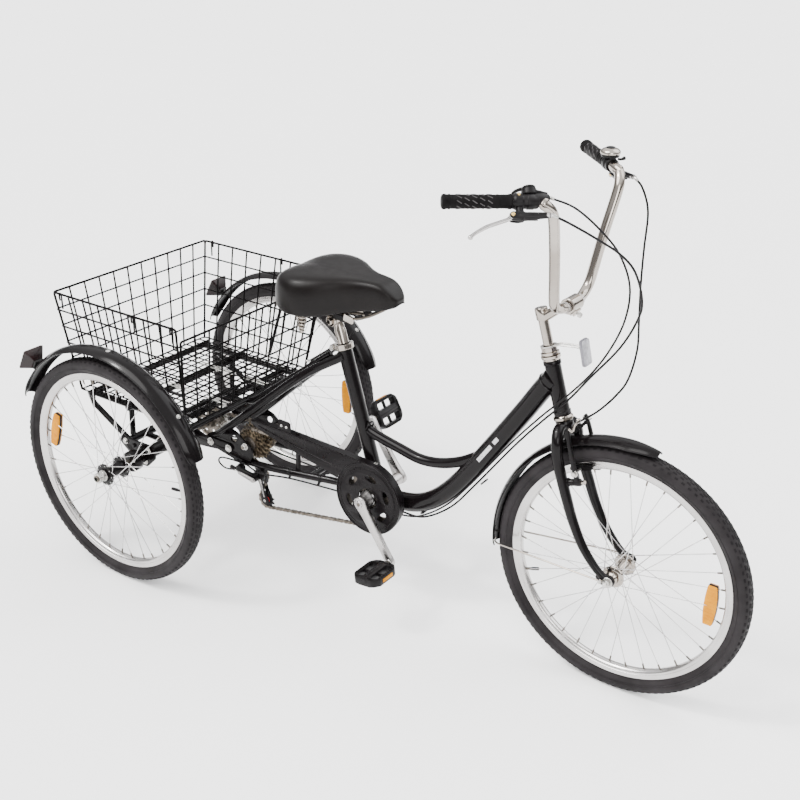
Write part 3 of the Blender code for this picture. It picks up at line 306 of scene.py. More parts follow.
    def plate(self, outlines, thickness, origin, turn, bevel=0.4):
        """A plate with rounded edges. The first outline is its edge, the others are holes."""
        curve = bpy.data.curves.new("plate", "CURVE")
        curve.dimensions = "2D"
        curve.fill_mode = "BOTH"
        curve.extrude = thickness / 2 - bevel
        curve.bevel_depth = bevel
        curve.bevel_resolution = 1
        curve.offset = -bevel
        for outline in outlines:
            spline = curve.splines.new("POLY")
            spline.points.add(len(outline) - 1)
            for index, point in enumerate(outline):
                spline.points[index].co = (point[0], point[1], 0.0, 1.0)
            spline.use_cyclic_u = True
        flat = add_object("plate", curve)
        bpy.context.view_layer.update()
        mesh = bpy.data.meshes.new_from_object(flat.evaluated_get(bpy.context.evaluated_depsgraph_get()))
        verts = [Vector(origin) + turn @ p.co for p in mesh.vertices]
        faces = [list(f.vertices) for f in mesh.polygons]
        bpy.data.objects.remove(flat)
        bpy.data.meshes.remove(mesh)
        bpy.data.curves.remove(curve)
        return self.add(verts, faces)

    def side_plate(self, outlines, thickness, y, bevel=0.4):
        """A plate in a plane of constant y, from outlines of (x, z)."""
        return self.plate(outlines, thickness, (0, y, 0), UPRIGHT, bevel)


def axes_matrix(first, second):
    """A rotation whose X and Y axes lie along two directions."""
    first = Vector(first).normalized()
    third = first.cross(Vector(second)).normalized()
    return Matrix((first, third.cross(first), third)).transposed()


def pitch(degrees):
    """A rotation about the sideways axis."""
    return Matrix.Rotation(math.radians(degrees), 3, "Y")


UPRIGHT = axes_matrix((1, 0, 0), UP)


def circle(x, z, radius, count=24, start=0.0, end=360.0):
    """Points on a circle, or on an arc of it."""
    whole = end - start >= 360.0
    steps = count if whole else count - 1
    angles = [math.radians(start + (end - start) * i / steps) for i in range(count)]
    return [(x + radius * math.cos(a), z + radius * math.sin(a)) for a in angles]


def rounded(outline, radius=4.0, steps=4):
    """An outline in a plane with its corners rounded."""
    points = [Vector(p).to_2d() for p in outline]
    result = []
    for i, b in enumerate(points):
        a, c = points[i - 1], points[(i + 1) % len(points)]
        back, on = a - b, c - b
        cut = min(radius, back.length * 0.45, on.length * 0.45)
        start, end = b + back.normalized() * cut, b + on.normalized() * cut
        for k in range(steps + 1):
            t = k / steps
            result.append(tuple(start * (1 - t) ** 2 + b * 2 * t * (1 - t) + end * t * t))
    return result


# Making an object of a shape


EDGE_ANGLE = 35


def piece(
        name, shape, material, body="frame", replaced=(), sharp=EDGE_ANGLE, weld=True, bevel=0.0,
        subdivide=0):
    """One finished object: it rides on a body and stands for CAD nodes."""
    mesh = bpy.data.meshes.new(name)
    mesh.from_pydata([place(p) for p in shape.verts], [], shape.faces)
    work = bmesh.new()
    work.from_mesh(mesh)
    if weld:
        bmesh.ops.remove_doubles(work, verts=work.verts, dist=WELD_DISTANCE)
    bmesh.ops.recalc_face_normals(work, faces=work.faces)
    work.to_mesh(mesh)
    work.free()
    mesh.materials.append(material)
    mesh.shade_smooth()
    mesh.set_sharp_from_angle(angle=math.radians(sharp))
    obj = add_object(name, mesh)
    if bevel:
        modifier = obj.modifiers.new("Edges", "BEVEL")
        modifier.width = bevel * MM
        modifier.segments = 2
        modifier.limit_method = "ANGLE"
        modifier.angle_limit = math.radians(EDGE_ANGLE)
    if subdivide:
        modifier = obj.modifiers.new("Smooth", "SUBSURF")
        modifier.levels = subdivide
        modifier.render_levels = subdivide
    if body:
        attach(obj, body)
    if replaced:
        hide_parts(*replaced)
    return obj


# Materials


def node(tree, kind, source=None, **values):
    """A new shader node with its inputs set. source feeds its Vector input."""
    made = tree.nodes.new("ShaderNode" + kind)
    for name, value in values.items():
        made.inputs[name.replace("_", " ")].default_value = value
    if source:
        tree.links.new(source, made.inputs["Vector"])
    return made


def look(
        name, colour, rough, metal=0.0, *, tint, cloud=18.0, rough_vary=0.08, grain=900.0, bump=0.05,
        depth=0.0002, coat=0.0, pattern="NOISE", specular=0.5):
    """A procedural finish: a clouded colour, uneven gloss and a fine surface grain."""
    material = bpy.data.materials.new(name)
    material.use_nodes = True
    material.diffuse_color = (*colour, 1.0)
    tree = material.node_tree
    join = tree.links.new
    shader = tree.nodes["Principled BSDF"]
    mapping = node(tree, "Mapping", node(tree, "TexCoord").outputs["Object"]).outputs["Vector"]

    clouds = node(tree, "TexNoise", mapping, Scale=cloud, Detail=5.0)
    ramp = node(tree, "ValToRGB")
    for stop, position, shade in zip(ramp.color_ramp.elements, (0.35, 0.68), (colour, tint)):
        stop.position = position
        stop.color = (*shade, 1.0)
    join(clouds.outputs["Fac"], ramp.inputs["Fac"])
    join(ramp.outputs["Color"], shader.inputs["Base Color"])

    smudge = node(tree, "TexNoise", mapping, Scale=cloud * 3.1, Detail=6.0)
    limits = {
        "From_Min": 0.3, "From_Max": 0.7, "To_Min": max(rough - rough_vary, 0.02),
        "To_Max": min(rough + rough_vary, 1.0)}
    spread = node(tree, "MapRange", **limits)
    join(smudge.outputs["Fac"], spread.inputs["Value"])
    join(spread.outputs["Result"], shader.inputs["Roughness"])

    if pattern == "NOISE":
        fine = node(tree, "TexNoise", Scale=grain, Detail=3.0)
        height = fine.outputs["Fac"]
    else:
        fine = node(tree, "TexVoronoi", Scale=grain)
        fine.feature = pattern
        height = fine.outputs["Distance"]
    join(mapping, fine.inputs["Vector"])
    relief = node(tree, "Bump", Strength=bump, Distance=depth)
    join(height, relief.inputs["Height"])
    join(relief.outputs["Normal"], shader.inputs["Normal"])
    settings = {
        "Metallic": metal, "Coat Weight": coat, "Coat Roughness": 0.05, "Specular IOR Level": specular}
    for key, value in settings.items():
        shader.inputs[key].default_value = value
    return material


PAINT = look(
    "gloss_black_paint", (0.0022, 0.0016, 0.0018), 0.18, tint=(0.0038, 0.0029, 0.0032),
    cloud=9, rough_vary=0.05, grain=260, bump=0.04, depth=0.0004, coat=0.06, specular=0.11)
WIRE = look(
    "coated_wire", (0.0012, 0.0009, 0.001), 0.36, tint=(0.003, 0.0024, 0.0026), cloud=30,
    grain=900, bump=0.2, depth=0.0002, specular=0.04)
CHROME = look(
    "chrome", (0.37, 0.335, 0.30), 0.10, 1.0, tint=(0.27, 0.24, 0.21), cloud=14, rough_vary=0.05,
    grain=500, bump=0.015, depth=0.0002)
ALLOY = look(
    "alloy", (0.48, 0.465, 0.455), 0.28, 1.0, tint=(0.35, 0.335, 0.325), cloud=12, grain=1500,
    bump=0.06, depth=0.0001)
RIM = look(
    "rim_alloy", (0.54, 0.525, 0.515), 0.24, 1.0, tint=(0.41, 0.395, 0.385), cloud=8, grain=1400,
    bump=0.05, depth=0.0001)
SPOKE = look("stainless_spoke", (0.60, 0.59, 0.59), 0.22, 1.0, tint=(0.44, 0.43, 0.43), cloud=20)
STEEL = look(
    "dark_steel", (0.075, 0.066, 0.057), 0.40, 0.9, tint=(0.16, 0.14, 0.12), cloud=45,
    grain=1200, bump=0.15, depth=0.0001)
CHAIN = look(
    "oiled_chain", (0.07, 0.06, 0.05), 0.32, 0.9, tint=(0.27, 0.235, 0.195), cloud=110,
    grain=1500, bump=0.12, depth=0.0001)
COG = look(
    "browned_cog", (0.05, 0.038, 0.025), 0.34, 0.9, tint=(0.21, 0.165, 0.11), cloud=90,
    grain=1500, bump=0.12, depth=0.0001)
ZINC = look(
    "zinc_bolt", (0.56, 0.55, 0.53), 0.28, 1.0, tint=(0.38, 0.37, 0.35), cloud=60, grain=1200)
BRASS = look("gold_screw", (0.75, 0.53, 0.20), 0.25, 1.0, tint=(0.60, 0.40, 0.14), cloud=50)
TYRE = look(
    "tyre_rubber", (0.0075, 0.0062, 0.0068), 0.62, tint=(0.015, 0.013, 0.014), cloud=16,
    grain=1300, bump=0.2, depth=0.0002, specular=0.14)
TREAD = look(
    "tread_rubber", (0.005, 0.0042, 0.0047), 0.8, tint=(0.011, 0.0098, 0.0105), cloud=60,
    grain=1500, bump=0.3, depth=0.0003, specular=0.10)
RUBBER = look(
    "grip_rubber", (0.0016, 0.0013, 0.0015), 0.6, tint=(0.004, 0.0034, 0.0037), cloud=40,
    grain=1700, bump=0.3, depth=0.0002, specular=0.07)
CASING = look(
    "cable_casing", (0.003, 0.0026, 0.003), 0.38, tint=(0.006, 0.0055, 0.006), cloud=40,
    grain=1200, bump=0.08, depth=0.0001, specular=0.15)
PLASTIC = look(
    "black_plastic", (0.003, 0.0025, 0.0028), 0.34, tint=(0.0065, 0.0056, 0.006), cloud=35,
    grain=1800, bump=0.18, depth=0.00015, specular=0.14)
LAMP = look(
    "smoked_lamp", (0.005, 0.0022, 0.0024), 0.16, tint=(0.012, 0.0035, 0.0038), cloud=22,
    grain=330, bump=0.3, depth=0.0008, pattern="F1", coat=0.12, specular=0.2)
LAMP_FACE = look(
    "lamp_face", (0.024, 0.0025, 0.003), 0.16, tint=(0.05, 0.005, 0.005), cloud=30, grain=420,
    bump=0.4, depth=0.001, pattern="F1", coat=0.15, specular=0.2)
AMBER = look(
    "amber_reflector", (0.47, 0.17, 0.0), 0.3, tint=(0.58, 0.235, 0.0), cloud=60, grain=420,
    bump=0.45, depth=0.0008, pattern="F1", specular=0.06)
CLEAR = look(
    "clear_reflector", (0.17, 0.17, 0.19), 0.12, tint=(0.33, 0.33, 0.36), cloud=80,
    grain=420, bump=0.6, depth=0.001, pattern="F1", coat=0.6)
VINYL = look(
    "saddle_vinyl", (0.0026, 0.0018, 0.0017), 0.35, tint=(0.0042, 0.0031, 0.0029), cloud=14,
    grain=950, bump=0.16, depth=0.0003, pattern="F1", rough_vary=0.05, specular=0.13)
GUARD = look(
    "guard_plastic", (0.0034, 0.0026, 0.003), 0.28, tint=(0.0046, 0.0036, 0.004),
    cloud=12, rough_vary=0.03, grain=1100, bump=0.08, depth=0.00015, specular=0.11)
CORE = look(
    "pulley_core", (0.35, 0.012, 0.015), 0.32, tint=(0.5, 0.03, 0.03), cloud=60, grain=900)
# Painted highlight: the grip treads are coloured far lighter than the grip rubber, standing in for light
# caught on the raised dashes.
TREAD_HIGHLIGHT = look(
    "grip_tread_painted_highlight", (0.018, 0.0155, 0.0165), 0.5, tint=(0.034, 0.030, 0.032), cloud=60,
    grain=1400, bump=0.2)
CASE = look(
    "reflector_case", (0.10, 0.095, 0.115), 0.3, tint=(0.17, 0.165, 0.19), cloud=30,
    grain=900, coat=0.3)
STRIPE = look(
    "stripe_silver", (0.40, 0.40, 0.41), 0.3, 0.4, tint=(0.52, 0.52, 0.53), cloud=40)


# Wheels


def tyre_profile():
    """A tyre's section as (y, radius), from bead to bead over the tread."""
    half = [
        (11.2, 256), (11.6, 261), (14.5, 265.5), (18.6, 270), (20.9, 275.5), (21.4, 280.5), (20.8, 285.2),
        (19.2, 289.2), (16.6, 292.4), (12.4, 294.9), (6.5, 296.2), (0, 296.6)]
    return half + [(-y, r) for y, r in half[-2::-1]]


def make_tyre(side, centre, body):
    """A tyre with raised side lines, shoulder knobs and a ribbed crown."""
    shape = Shape().lathe(tyre_profile(), centre, ACROSS, 128)
    for y in (-1, 1):
        for height, radius in ((12.6, 263.2), (20.6, 273.6)):
            shape.hoop(centre + ACROSS * y * height, FORWARD, UP, radius, 0.75, 96, 5)
    piece(f"{side}_tyre_carcass", shape, TYRE, body, [f"{side}_tyre"])
    knobs = Shape()
    count = 108
    for k in range(count):
        for y, radius, size, lean, shift in (
                (16.8, 291.0, (8.8, 5.0, 2.8), 42, 0.0), (-16.8, 291.0, (8.8, 5.0, 2.8), -42, 0.5),
                (9.4, 294.9, (10.6, 4.6, 2.6), 14, 0.5), (-9.4, 294.9, (10.6, 4.6, 2.6), -14, 0.0),
                (2.6, 295.7, (12.4, 2.6, 2.4), 0, 0.25), (-2.6, 295.7, (12.4, 2.6, 2.4), 0, 0.75)):
            angle = 360 * (k + shift) / count
            spot = polar(centre, radius, angle, centre[1] + y)
            turn = pitch(90 - angle)
            turn = turn @ Matrix.Rotation(math.radians(-lean), 3, "X")
            knobs.box(spot, size, turn, 0.86)
    piece(f"{side}_tread", knobs, TREAD, body, weld=False)


def make_rim(side, centre, body):
    """A box-section rim with its braking track and valve."""
    half = [
        (0, 240.6), (5.0, 241.2), (8.6, 243.6), (10.6, 247.0), (11.0, 250.2), (11.5, 250.7), (11.5, 257.4),
        (12.0, 258.2), (12.0, 260.2), (11.2, 260.9), (10.3, 260.2), (10.0, 256)]
    profile = [(-y, r) for y, r in half[::-1]] + half[1:]
    shape = Shape().lathe(profile, centre, ACROSS, 128)
    piece(f"{side}_rim_hoop", shape, RIM, body, [f"{side}_rim"])
    valve = Shape()
    angle = VALVE_ANGLE[side]
    valve.rod(polar(centre, 241, angle), polar(centre, 222, angle), 3.1, 12)
    valve.rod(polar(centre, 226, angle), polar(centre, 207, angle), 3.9, 12)
    piece(f"{side}_valve", valve, PLASTIC, body)


VALVE_ANGLE = {"front": 200, "left": 40, "right": 5}
REFLECTOR_ANGLE = {"front": -0.7, "left": 2.4, "right": 164.7}


SPOKES = 36
SPOKE_LEAN = 62


def make_spokes(side, centre, body, flange_y, flange_r):
    """Thirty-six crossed spokes with dark nipples, and an amber reflector clipped between them."""
    wires, nipples = Shape(), Shape()
    for k in range(SPOKES):
        face = 1 if k % 2 else -1
        pair = k // 2
        swing = 1 if pair % 2 else -1
        rim_angle = 360 / SPOKES * k
        root_angle = rim_angle + swing * SPOKE_LEAN
        root = polar(centre, flange_r, root_angle, centre[1] + face * (flange_y + swing * 1.6))
        tip = polar(centre, 241.5, rim_angle, centre[1] + face * 1.8)
        wires.tube([root, tip], 1.0, 6)
        way = (root - tip).normalized()
        nipples.tube([tip, tip + way * 12], 2.0, 8)
        wires.ball(root, 2.2, 8)
    piece(f"{side}_spokes", wires, SPOKE, body, weld=False)
    piece(f"{side}_nipples", nipples, STEEL, body, weld=False)
    angle = REFLECTOR_ANGLE[side]
    out = polar((0, 0, 0), 1, angle)
    turn = axes_matrix(out.cross(ACROSS), out)
    lens, back = Shape(), Shape()
    low = [(t, -13.5 + 3.6 * (t / 48) ** 2) for t in (-48, -34, -18, 0, 18, 34, 48)]
    high = [(t, 14.5 - 5.2 * (t / 48) ** 2) for t in (48, 34, 18, 0, -18, -34, -48)]
    outline = rounded(low + high, 2.4)
    spot = polar(centre, 210, angle, centre[1])
    for face in (-1, 1):
        lens.plate([outline], 3.4, spot + v(0, face * 5.0, 0), turn, 1.0)
    for k in range(-5, 6):
        lens.box(spot + turn @ v(k * 8.4, 0.5, 0), (1.0, 21, 14.4), turn)
    back.plate([rounded([(x * 1.012, y * 1.03) for x, y in low + high], 3)], 6.6, spot, turn, 0.8)
    piece(f"{side}_wheel_reflector", lens, AMBER, body)
    piece(f"{side}_reflector_back", back, PLASTIC, body)


def make_front_hub():
    """The bright front hub, its axle nuts and washers."""
    centre = v(WHEELBASE, 0, TYRE_RADIUS)
    flange = [
        (44, 5.4), (44, 11), (41, 14.5), (34, 15.5), (32.2, 24), (31.2, 25), (28.8, 25), (27.8, 24),
        (26, 16), (20, 12.8), (0, 12)]
    profile = flange + [(-h, r) for h, r in flange[-2::-1]]
    shape = Shape().lathe(profile, centre, ACROSS, 48)
    piece("front_hub_shell", shape, CHROME, "front_wheel", ["front_hub"])
    nuts = Shape()
    for side in (-1, 1):
        start = beside(centre, side * 57.6)
        nuts.rod(start, beside(centre, side * 60), 12.5, 32)
        nuts.lathe([(8, 0), (8, 6.5), (6.5, 8.6), (0, 8.6)], beside(centre, side * 60.2), (0, side, 0), 6)
        nuts.pin(centre, side * 60, side * 73, 4.6, 16)
        nuts.pin(centre, side * 45.2, side * 50.4, 10, 24)
    piece("front_axle_nuts", nuts, ZINC, "steering")


def make_rear_hub(side, y_side, body):
    """A black rear hub with a bright bearing face and the axle nut."""
    centre = v(0, y_side * HALF_TRACK, TYRE_RADIUS)
    flange = [
        (33, 9.2), (33, 16.5), (29, 17.5), (28.4, 27), (27.2, 28.2), (24.6, 28.2), (23.4, 27), (22.5, 18),
        (15, 15.5), (0, 15)]
    profile = flange + [(-h, r) for h, r in flange[-2::-1]]
    shape = Shape().lathe(profile, centre, ACROSS, 48)
    piece(f"{side}_hub_shell", shape, PAINT, body, [f"{side}_hub"])
    face = Shape()
    out = v(0, y_side, 0)
    face.lathe([(35.4, 8.8), (35.4, 12), (34.4, 14.2), (32.8, 14.8)], centre, out, 40)
    face.rod(centre + out * 35.2, centre + out * 37.6, 12.6, 32)
    face.lathe([(50, 0), (50, 7), (47.4, 12.4), (38, 12.4)], centre, out, 6)
    face.rod(centre + out * 47, centre + out * 57.6, 6.2, 20)
    piece(f"{side}_axle_nut", face, ZINC, "drive_axle")


def make_wheels():
    """All three wheels."""
    make_front_hub()
    wheels = [
        ("front", v(WHEELBASE, 0, TYRE_RADIUS), "front_wheel", 30, 21.5), ("right",
        v(0, -HALF_TRACK, TYRE_RADIUS), "drive_axle", 26, 24.5), ("left", v(0, HALF_TRACK, TYRE_RADIUS),
        "left_wheel", 26, 24.5)]
    for side, centre, body, flange_y, flange_r in wheels:
        make_tyre(side, centre, body)
        make_rim(side, centre, body)
        make_spokes(side, centre, body, flange_y, flange_r)
    make_rear_hub("right", RIGHT, "drive_axle")
    make_rear_hub("left", LEFT, "left_wheel")


# Frame


def make_main_frame():
    """The welded step-through frame with its plates, weld beads and cable clips."""
    foot = v(575, 0, 283)
    top_tube = [
        (533, 0, 441), (560, 0, 430), (633, 0, 415), (692, 0, 405), (748, 0, 412), (803, 0, 433),
        (850, 0, 462), (872, 0, 478)]
    down_tube = [
        (588, 0, 276), (640, 0, 274), (706, 0, 293), (770, 0, 342), (844, 0, 435), (952, 0, 593),
        (1000, 0, 668), (1026, 0, 706)]
    shape = Shape()
    shape.lathe(
        [(34.4, 18.5), (34.4, 20.4), (33.6, 21), (-33.6, 21), (-34.4, 20.4), (-34.4, 18.5)], BRACKET,
        ACROSS, 40)
    shape.tube([foot, SEAT_TOP], 17.5, 28)
    shape.tube(smooth(top_tube, 5), 12.7, 20)
    shape.tube(smooth(down_tube, 5), 23.0, 32)
    head = [
        (0.3, 16), (0.3, 18.4), (1.5, 19.2), (9, 19.2), (10.5, 17.5), (111.5, 17.5), (113, 19.2),
        (120.5, 19.2), (121.7, 18.4), (121.7, 16)]
    shape.lathe(head, HEAD_LOW, STEER, 40)
    plate = [
        (62, 287), (58, 300), (70, 316), (150, 352), (174, 346), (188, 332), (204, 326), (218, 316),
        (223, 298), (218, 280), (206, 266), (186, 257), (150, 268), (90, 280)]
    window = [(150, 330), (163, 338), (172, 330), (164, 316), (150, 318)]
    for side in (-1, 1):
        chainstay = [(183, -62, 266), (262, -62, 272), (330, -54, 276), (470, -28, 281), (562, -20, 284)]
        seatstay = [(72, -62, 300), (145, -62, 357), (352, -34, 537), (474, -12, 618)]
        shape.tube(smooth(flip(chainstay, side), 5), 9.5, 18)
        shape.tube(smooth(flip(seatstay, side), 5), 11.0, 18)
        shape.side_plate([rounded(plate, 9), rounded(window, 3)], 6.0, side * 70.0)
    shape.tube([v(300, -48, 492), v(300, 48, 492)], 7.5, 16)
    shape.tube([v(392, -42, 279), v(392, 42, 279)], 7.5, 16)
    piece("frame_tubes", shape, PAINT, replaced=["main_frame"], sharp=45)

    beads = Shape()
    for centre, way, radius, other_way in (
            (SEAT_TOP - SEAT_AXIS * 213, SEAT_AXIS, 13.6, v(0.95, 0, -0.3)),
            (along(72), STEER, 24.0, v(-0.57, 0, -0.82))):
        out = (other_way - way * other_way.dot(way)).normalized()
        spot = centre + out * 17.5
        first, second = basis(other_way)
        beads.hoop(spot, first, second, radius, 2.2, 40)
    for side in (-1, 1):
        beads.hoop(v(466, side * 14, 614), FORWARD, UP, 11.5, 1.8)
        beads.hoop(v(562, side * 21, 284), ACROSS, UP, 10.5, 1.8)
    piece("frame_weld_beads", beads, PAINT, weld=False)

    clips, bolts = Shape(), Shape()
    for x, z in ((858, 424), (695, 288)):
        way = v(0.62, 0, 0.79) if x > 800 else v(0.9, 0, 0.42)
        turn = axes_matrix(way, ACROSS)
        clips.box(v(x, 0, z) + v(0.5, 0, -0.86) * 25, (9, 22, 4), turn)
    for stay, cable in (((418, -37.7, 279), (418, -48, 263)), ((334, -53.3, 276), (334, -59.6, 261.2))):
        clips.lathe([(3, 9.3), (3, 10.8), (-3, 10.8), (-3, 9.3)], v(*stay), (140, 26, 5), 24)
        clips.rod(v(*stay).lerp(v(*cable), 0.45), cable, 3.4, 12)
    for x, z in ((83, 298), (146, 297)):
        for side in (-1, 1):
            hub = v(x, side * 78.9, z)
            bolts.lathe([(6, 0), (6, 6.6), (4.8, 8.0), (0.2, 8.0)], hub, (0, side, 0), 6)
            bolts.pin(hub, side * 78.9, side * 80.6, 10.5, 24)
    for side in (-1, 1):
        bolts.lathe(
            [(1.5, 10.5), (1.5, 17.2), (0, 18.2), (-1, 18.2)], BRACKET + v(0, side * 34.6, 0), (0, side, 0),
            32)
    piece("frame_cable_clips", clips, PLASTIC, bevel=1.0)
    piece("frame_bolts", bolts, ZINC)

    stripe = Shape()
    way = v(108, 0, 158).normalized()
    turn = axes_matrix(way, ACROSS)
    for side in (-1, 1):
        for run, length in ((64, 56), (112, 18)):
            middle = v(844, side * 22.9, 435) + way * run
            stripe.box(middle, (length, 1.6, 9.0), turn)
    piece("frame_stripes", stripe, STRIPE)


def make_rear_carrier():
    """The axle housing with bearing ends, mounting plates, cross tube and brackets."""
    cross = v(-88, 0, 300)
    plate = [
        (-104, 292), (-96, 314), (-20, 322), (30, 318), (60, 309), (152, 309), (160, 298), (152, 287),
        (60, 276), (20, 272), (-20, 272), (-92, 286)]
    bracket = [(-78, 332), (38, 334), (44, 300), (14, 270), (-20, 270), (-84, 318)]
    shape = Shape()
    shape.tube([beside(cross, -208), beside(cross, 208)], 11.0, 24)
    for side in (-1, 1):
        profile = [(74, 9), (74, 17), (262, 17), (262, 24), (265, 27), (285, 27), (288, 24), (288, 9)]
        shape.lathe(profile, AXLE, (0, side, 0), 36)
        shape.side_plate([rounded(plate, 6)], 5.0, side * 75.8)
        shape.side_plate([rounded(bracket, 5)], 5.0, side * 238.5)
        shape.tube([beside(cross, side * 150), beside(AXLE, side * 150)], 8.0, 18)
        shape.rod(v(-30, side * 224, 318), v(-30, side * 246, 318), 6, 6, 0.5)
    piece("carrier_frame", shape, PAINT, replaced=["rear_carrier"], sharp=45)
    bolts = Shape()
    for side in (-1, 1):
        for x, z in ((-60, 322), (22, 318), (8, 284)):
            spot = v(x, side * 241.2, z)
            bolts.lathe([(5, 0), (5, 5.6), (4, 6.8), (0.2, 6.8)], spot, (0, side, 0), 6)
            bolts.rod(spot, spot + v(0, side * 1.4, 0), 8.8, 20)
        for k in range(3):
            spot = polar(AXLE, 21, 120 * k + 30, side * 288.4)
            bolts.lathe([(3.4, 0), (3.4, 3.4), (2.6, 4.2), (0, 4.2)], spot, (0, side, 0), 6)
    piece("carrier_bolts", bolts, ZINC)


def make_basket_rack():
    """The bars under the basket floor, with their struts and the brace to the seat tube."""
    z, r = FLOOR_Z - 11.0, 8.5
    shape = Shape()
    for side in (-1, 1):
        shape.tube([(-212, side * 205, z), (150, side * 205, z)], r, 18)
        shape.tube([(-85, side * 190, z), (-88, side * 190, 313)], 7.5, 18)
        strut = [(-205, side * 214, z), (-190, side * 227, z - 14), (-28, side * 227, 300)]
        shape.tube(bend_round(strut, 10), 7.5, 18)
    for x in (-205, -65, 95, 146):
        shape.tube([(x, -222, z), (x, 222, z)], r - 0.4, 18)
    shape.tube(bend_round([(140, 0, z), (163, 0, z), (425, 0, 608)], 16), 8.0, 18)
    piece("rack_tubes", shape, PAINT, replaced=["basket_rack"], sharp=45)
    strips, bolts = Shape(), Shape()
    for y in (-75, 75):
        for x0, x1 in ((-92, 32), (72, 148)):
            for dy in (-6, 6):
                strips.box(v((x0 + x1) / 2, y + dy, 424.2), (x1 - x0, 5, 1.8))
            bolts.rod(v((x0 + x1) / 2, y, 416), v((x0 + x1) / 2, y, 427.4), 4.5, 6)
            strips.box(v((x0 + x1) / 2, y, 425.4), (16, 20, 1.6))
    piece("basket_clamp_strips", strips, ZINC, bevel=0.5)
    piece("basket_clamp_bolts", bolts, ZINC)


# Basket


BASKET_REAR = (-225.0, -242.0)
BASKET_FRONT = (152.0, 190.0)
BASKET_HALF = (229.0, 273.0)
BASKET_TOP, FRONT_TOP = 697.0, 665.0


MESH_RADIUS = 2.3


def lattice(shape, corners, columns, rows, outward):
    """Crossing wires over a panel given by low start, low end, high end, high start."""
    low, low_end, high_end, high = [Vector(c) for c in corners]
    for i in range(1, columns):
        t = i / columns
        shape.tube([low.lerp(low_end, t), high.lerp(high_end, t)], MESH_RADIUS, 8)
    for j in range(1, rows):
        t = j / rows
        a, b = low.lerp(high, t), low_end.lerp(high_end, t)
        shape.tube([a + outward * MESH_RADIUS * 1.6, b + outward * MESH_RADIUS * 1.6], MESH_RADIUS, 8)


def make_basket():
    """The wire basket: fine meshes between heavier border wires, with hooks and loops."""
    foot = FLOOR_Z + 2.0
    (x0, x0_top), (x1, x1_top) = BASKET_REAR, BASKET_FRONT
    half, half_top = BASKET_HALF
    front_half = half + (half_top - half) * (FRONT_TOP - foot) / (BASKET_TOP - foot) - 2
    half_top -= 2
    rim = 2.9

    floor = Shape()
    floor.tube(
        bend_round([(x0, -half, foot), (x1, -half, foot), (x1, half, foot), (x0, half, foot),
        (x0, -half, foot)], 14), rim - 0.6, 10)
    for i in range(1, 16):
        x = x0 + (x1 - x0) * i / 16
        floor.tube([(x, -half, FLOOR_Z + 0.6), (x, half, FLOOR_Z + 0.6)], 2.0, 8)
    for i in range(1, 18):
        y = -half + 2 * half * i / 18
        floor.tube([(x0, y, FLOOR_Z + 3.2), (x1, y, FLOOR_Z + 3.2)], 2.0, 8)
    piece("basket_floor_wires", floor, WIRE, replaced=["basket_floor"], weld=False)

    for name, (low_x, high_x), high_half, top, rows, way in (
            ("rear", BASKET_REAR, half_top, BASKET_TOP, 6, -1), ("front", BASKET_FRONT, front_half,
            FRONT_TOP, 5, 1)):
        panel = Shape()
        low, low_end = (low_x, -half, foot), (low_x, half, foot)
        high, high_end = (high_x, -high_half, top), (high_x, high_half, top)
        panel.tube(bend_round([low, high, high_end, low_end], 7), rim, 12)
        lattice(panel, [low, low_end, high_end, high], 11, rows, v(way, 0, 0))
        piece(f"basket_{name}_wires", panel, WIRE, replaced=[f"basket_{name}_panel"], weld=False)

    for name, side in SIDES:
        panel = Shape()
        y0, y1 = side * half, side * half_top
        rail = [(x0, y0, foot), (x0_top, y1, BASKET_TOP - 1), (182, y1, BASKET_TOP - 1), (x1, y0, foot)]
        panel.tube(bend_round(rail, 7), rim, 12)
        corners = [(x0, y0, foot), (x1, y0, foot), (180, y1, BASKET_TOP - 1), (x0_top, y1, BASKET_TOP - 1)]
        lattice(panel, corners, 8, 6, outward=v(0, side, 0))
        for x in (x0_top + 26, 40, 168):
            hook = [
                (x, y1 - side * 2, BASKET_TOP - 40), (x, y1 - side * 1, BASKET_TOP - 4),
                (x, y1 + side * 3, BASKET_TOP + 1.6), (x, y1 + side * 5, BASKET_TOP - 5),
                (x, y1 + side * 4, BASKET_TOP - 16)]
            panel.tube(smooth(hook, 4), 2.2, 8)
        piece(f"basket_{name}_wires", panel, WIRE, replaced=[f"basket_{name}_panel"], weld=False)


# Fenders and lamps


def fender_skin(shape, centre, start, end, crown, edge, half, steps, tip):
    """A crowned fender round a wheel with rolled edges. tip narrows its width by angle."""
    section = []
    count = 9
    for k in range(count):
        t = -1 + 2 * k / (count - 1)
        section.append((t * half, edge + (crown - edge) * (1 - abs(t) ** 2.3)))
    inner = [(y * 0.955, r - 1.6) for y, r in section[::-1]]
    rings = []
    for i in range(steps + 1):
        angle = start + (end - start) * i / steps
        k = tip(angle)
        ring = []
        for y, r in section + inner:
            lift = crown - (crown - r) * (0.55 + 0.45 * k)
            ring.append(polar(centre, lift, angle, centre[1] + y * k))
        rings.append(ring)
    shape.rings(rings)
    for side in (-1, 1):
        lip = []
        for i in range(steps + 1):
            angle = start + (end - start) * i / steps
            k = tip(angle)
            lift = crown - (crown - edge) * (0.55 + 0.45 * k)
            lip.append(polar(centre, lift, angle, centre[1] + side * half * k))
        shape.tube(lip, 1.7, 8)


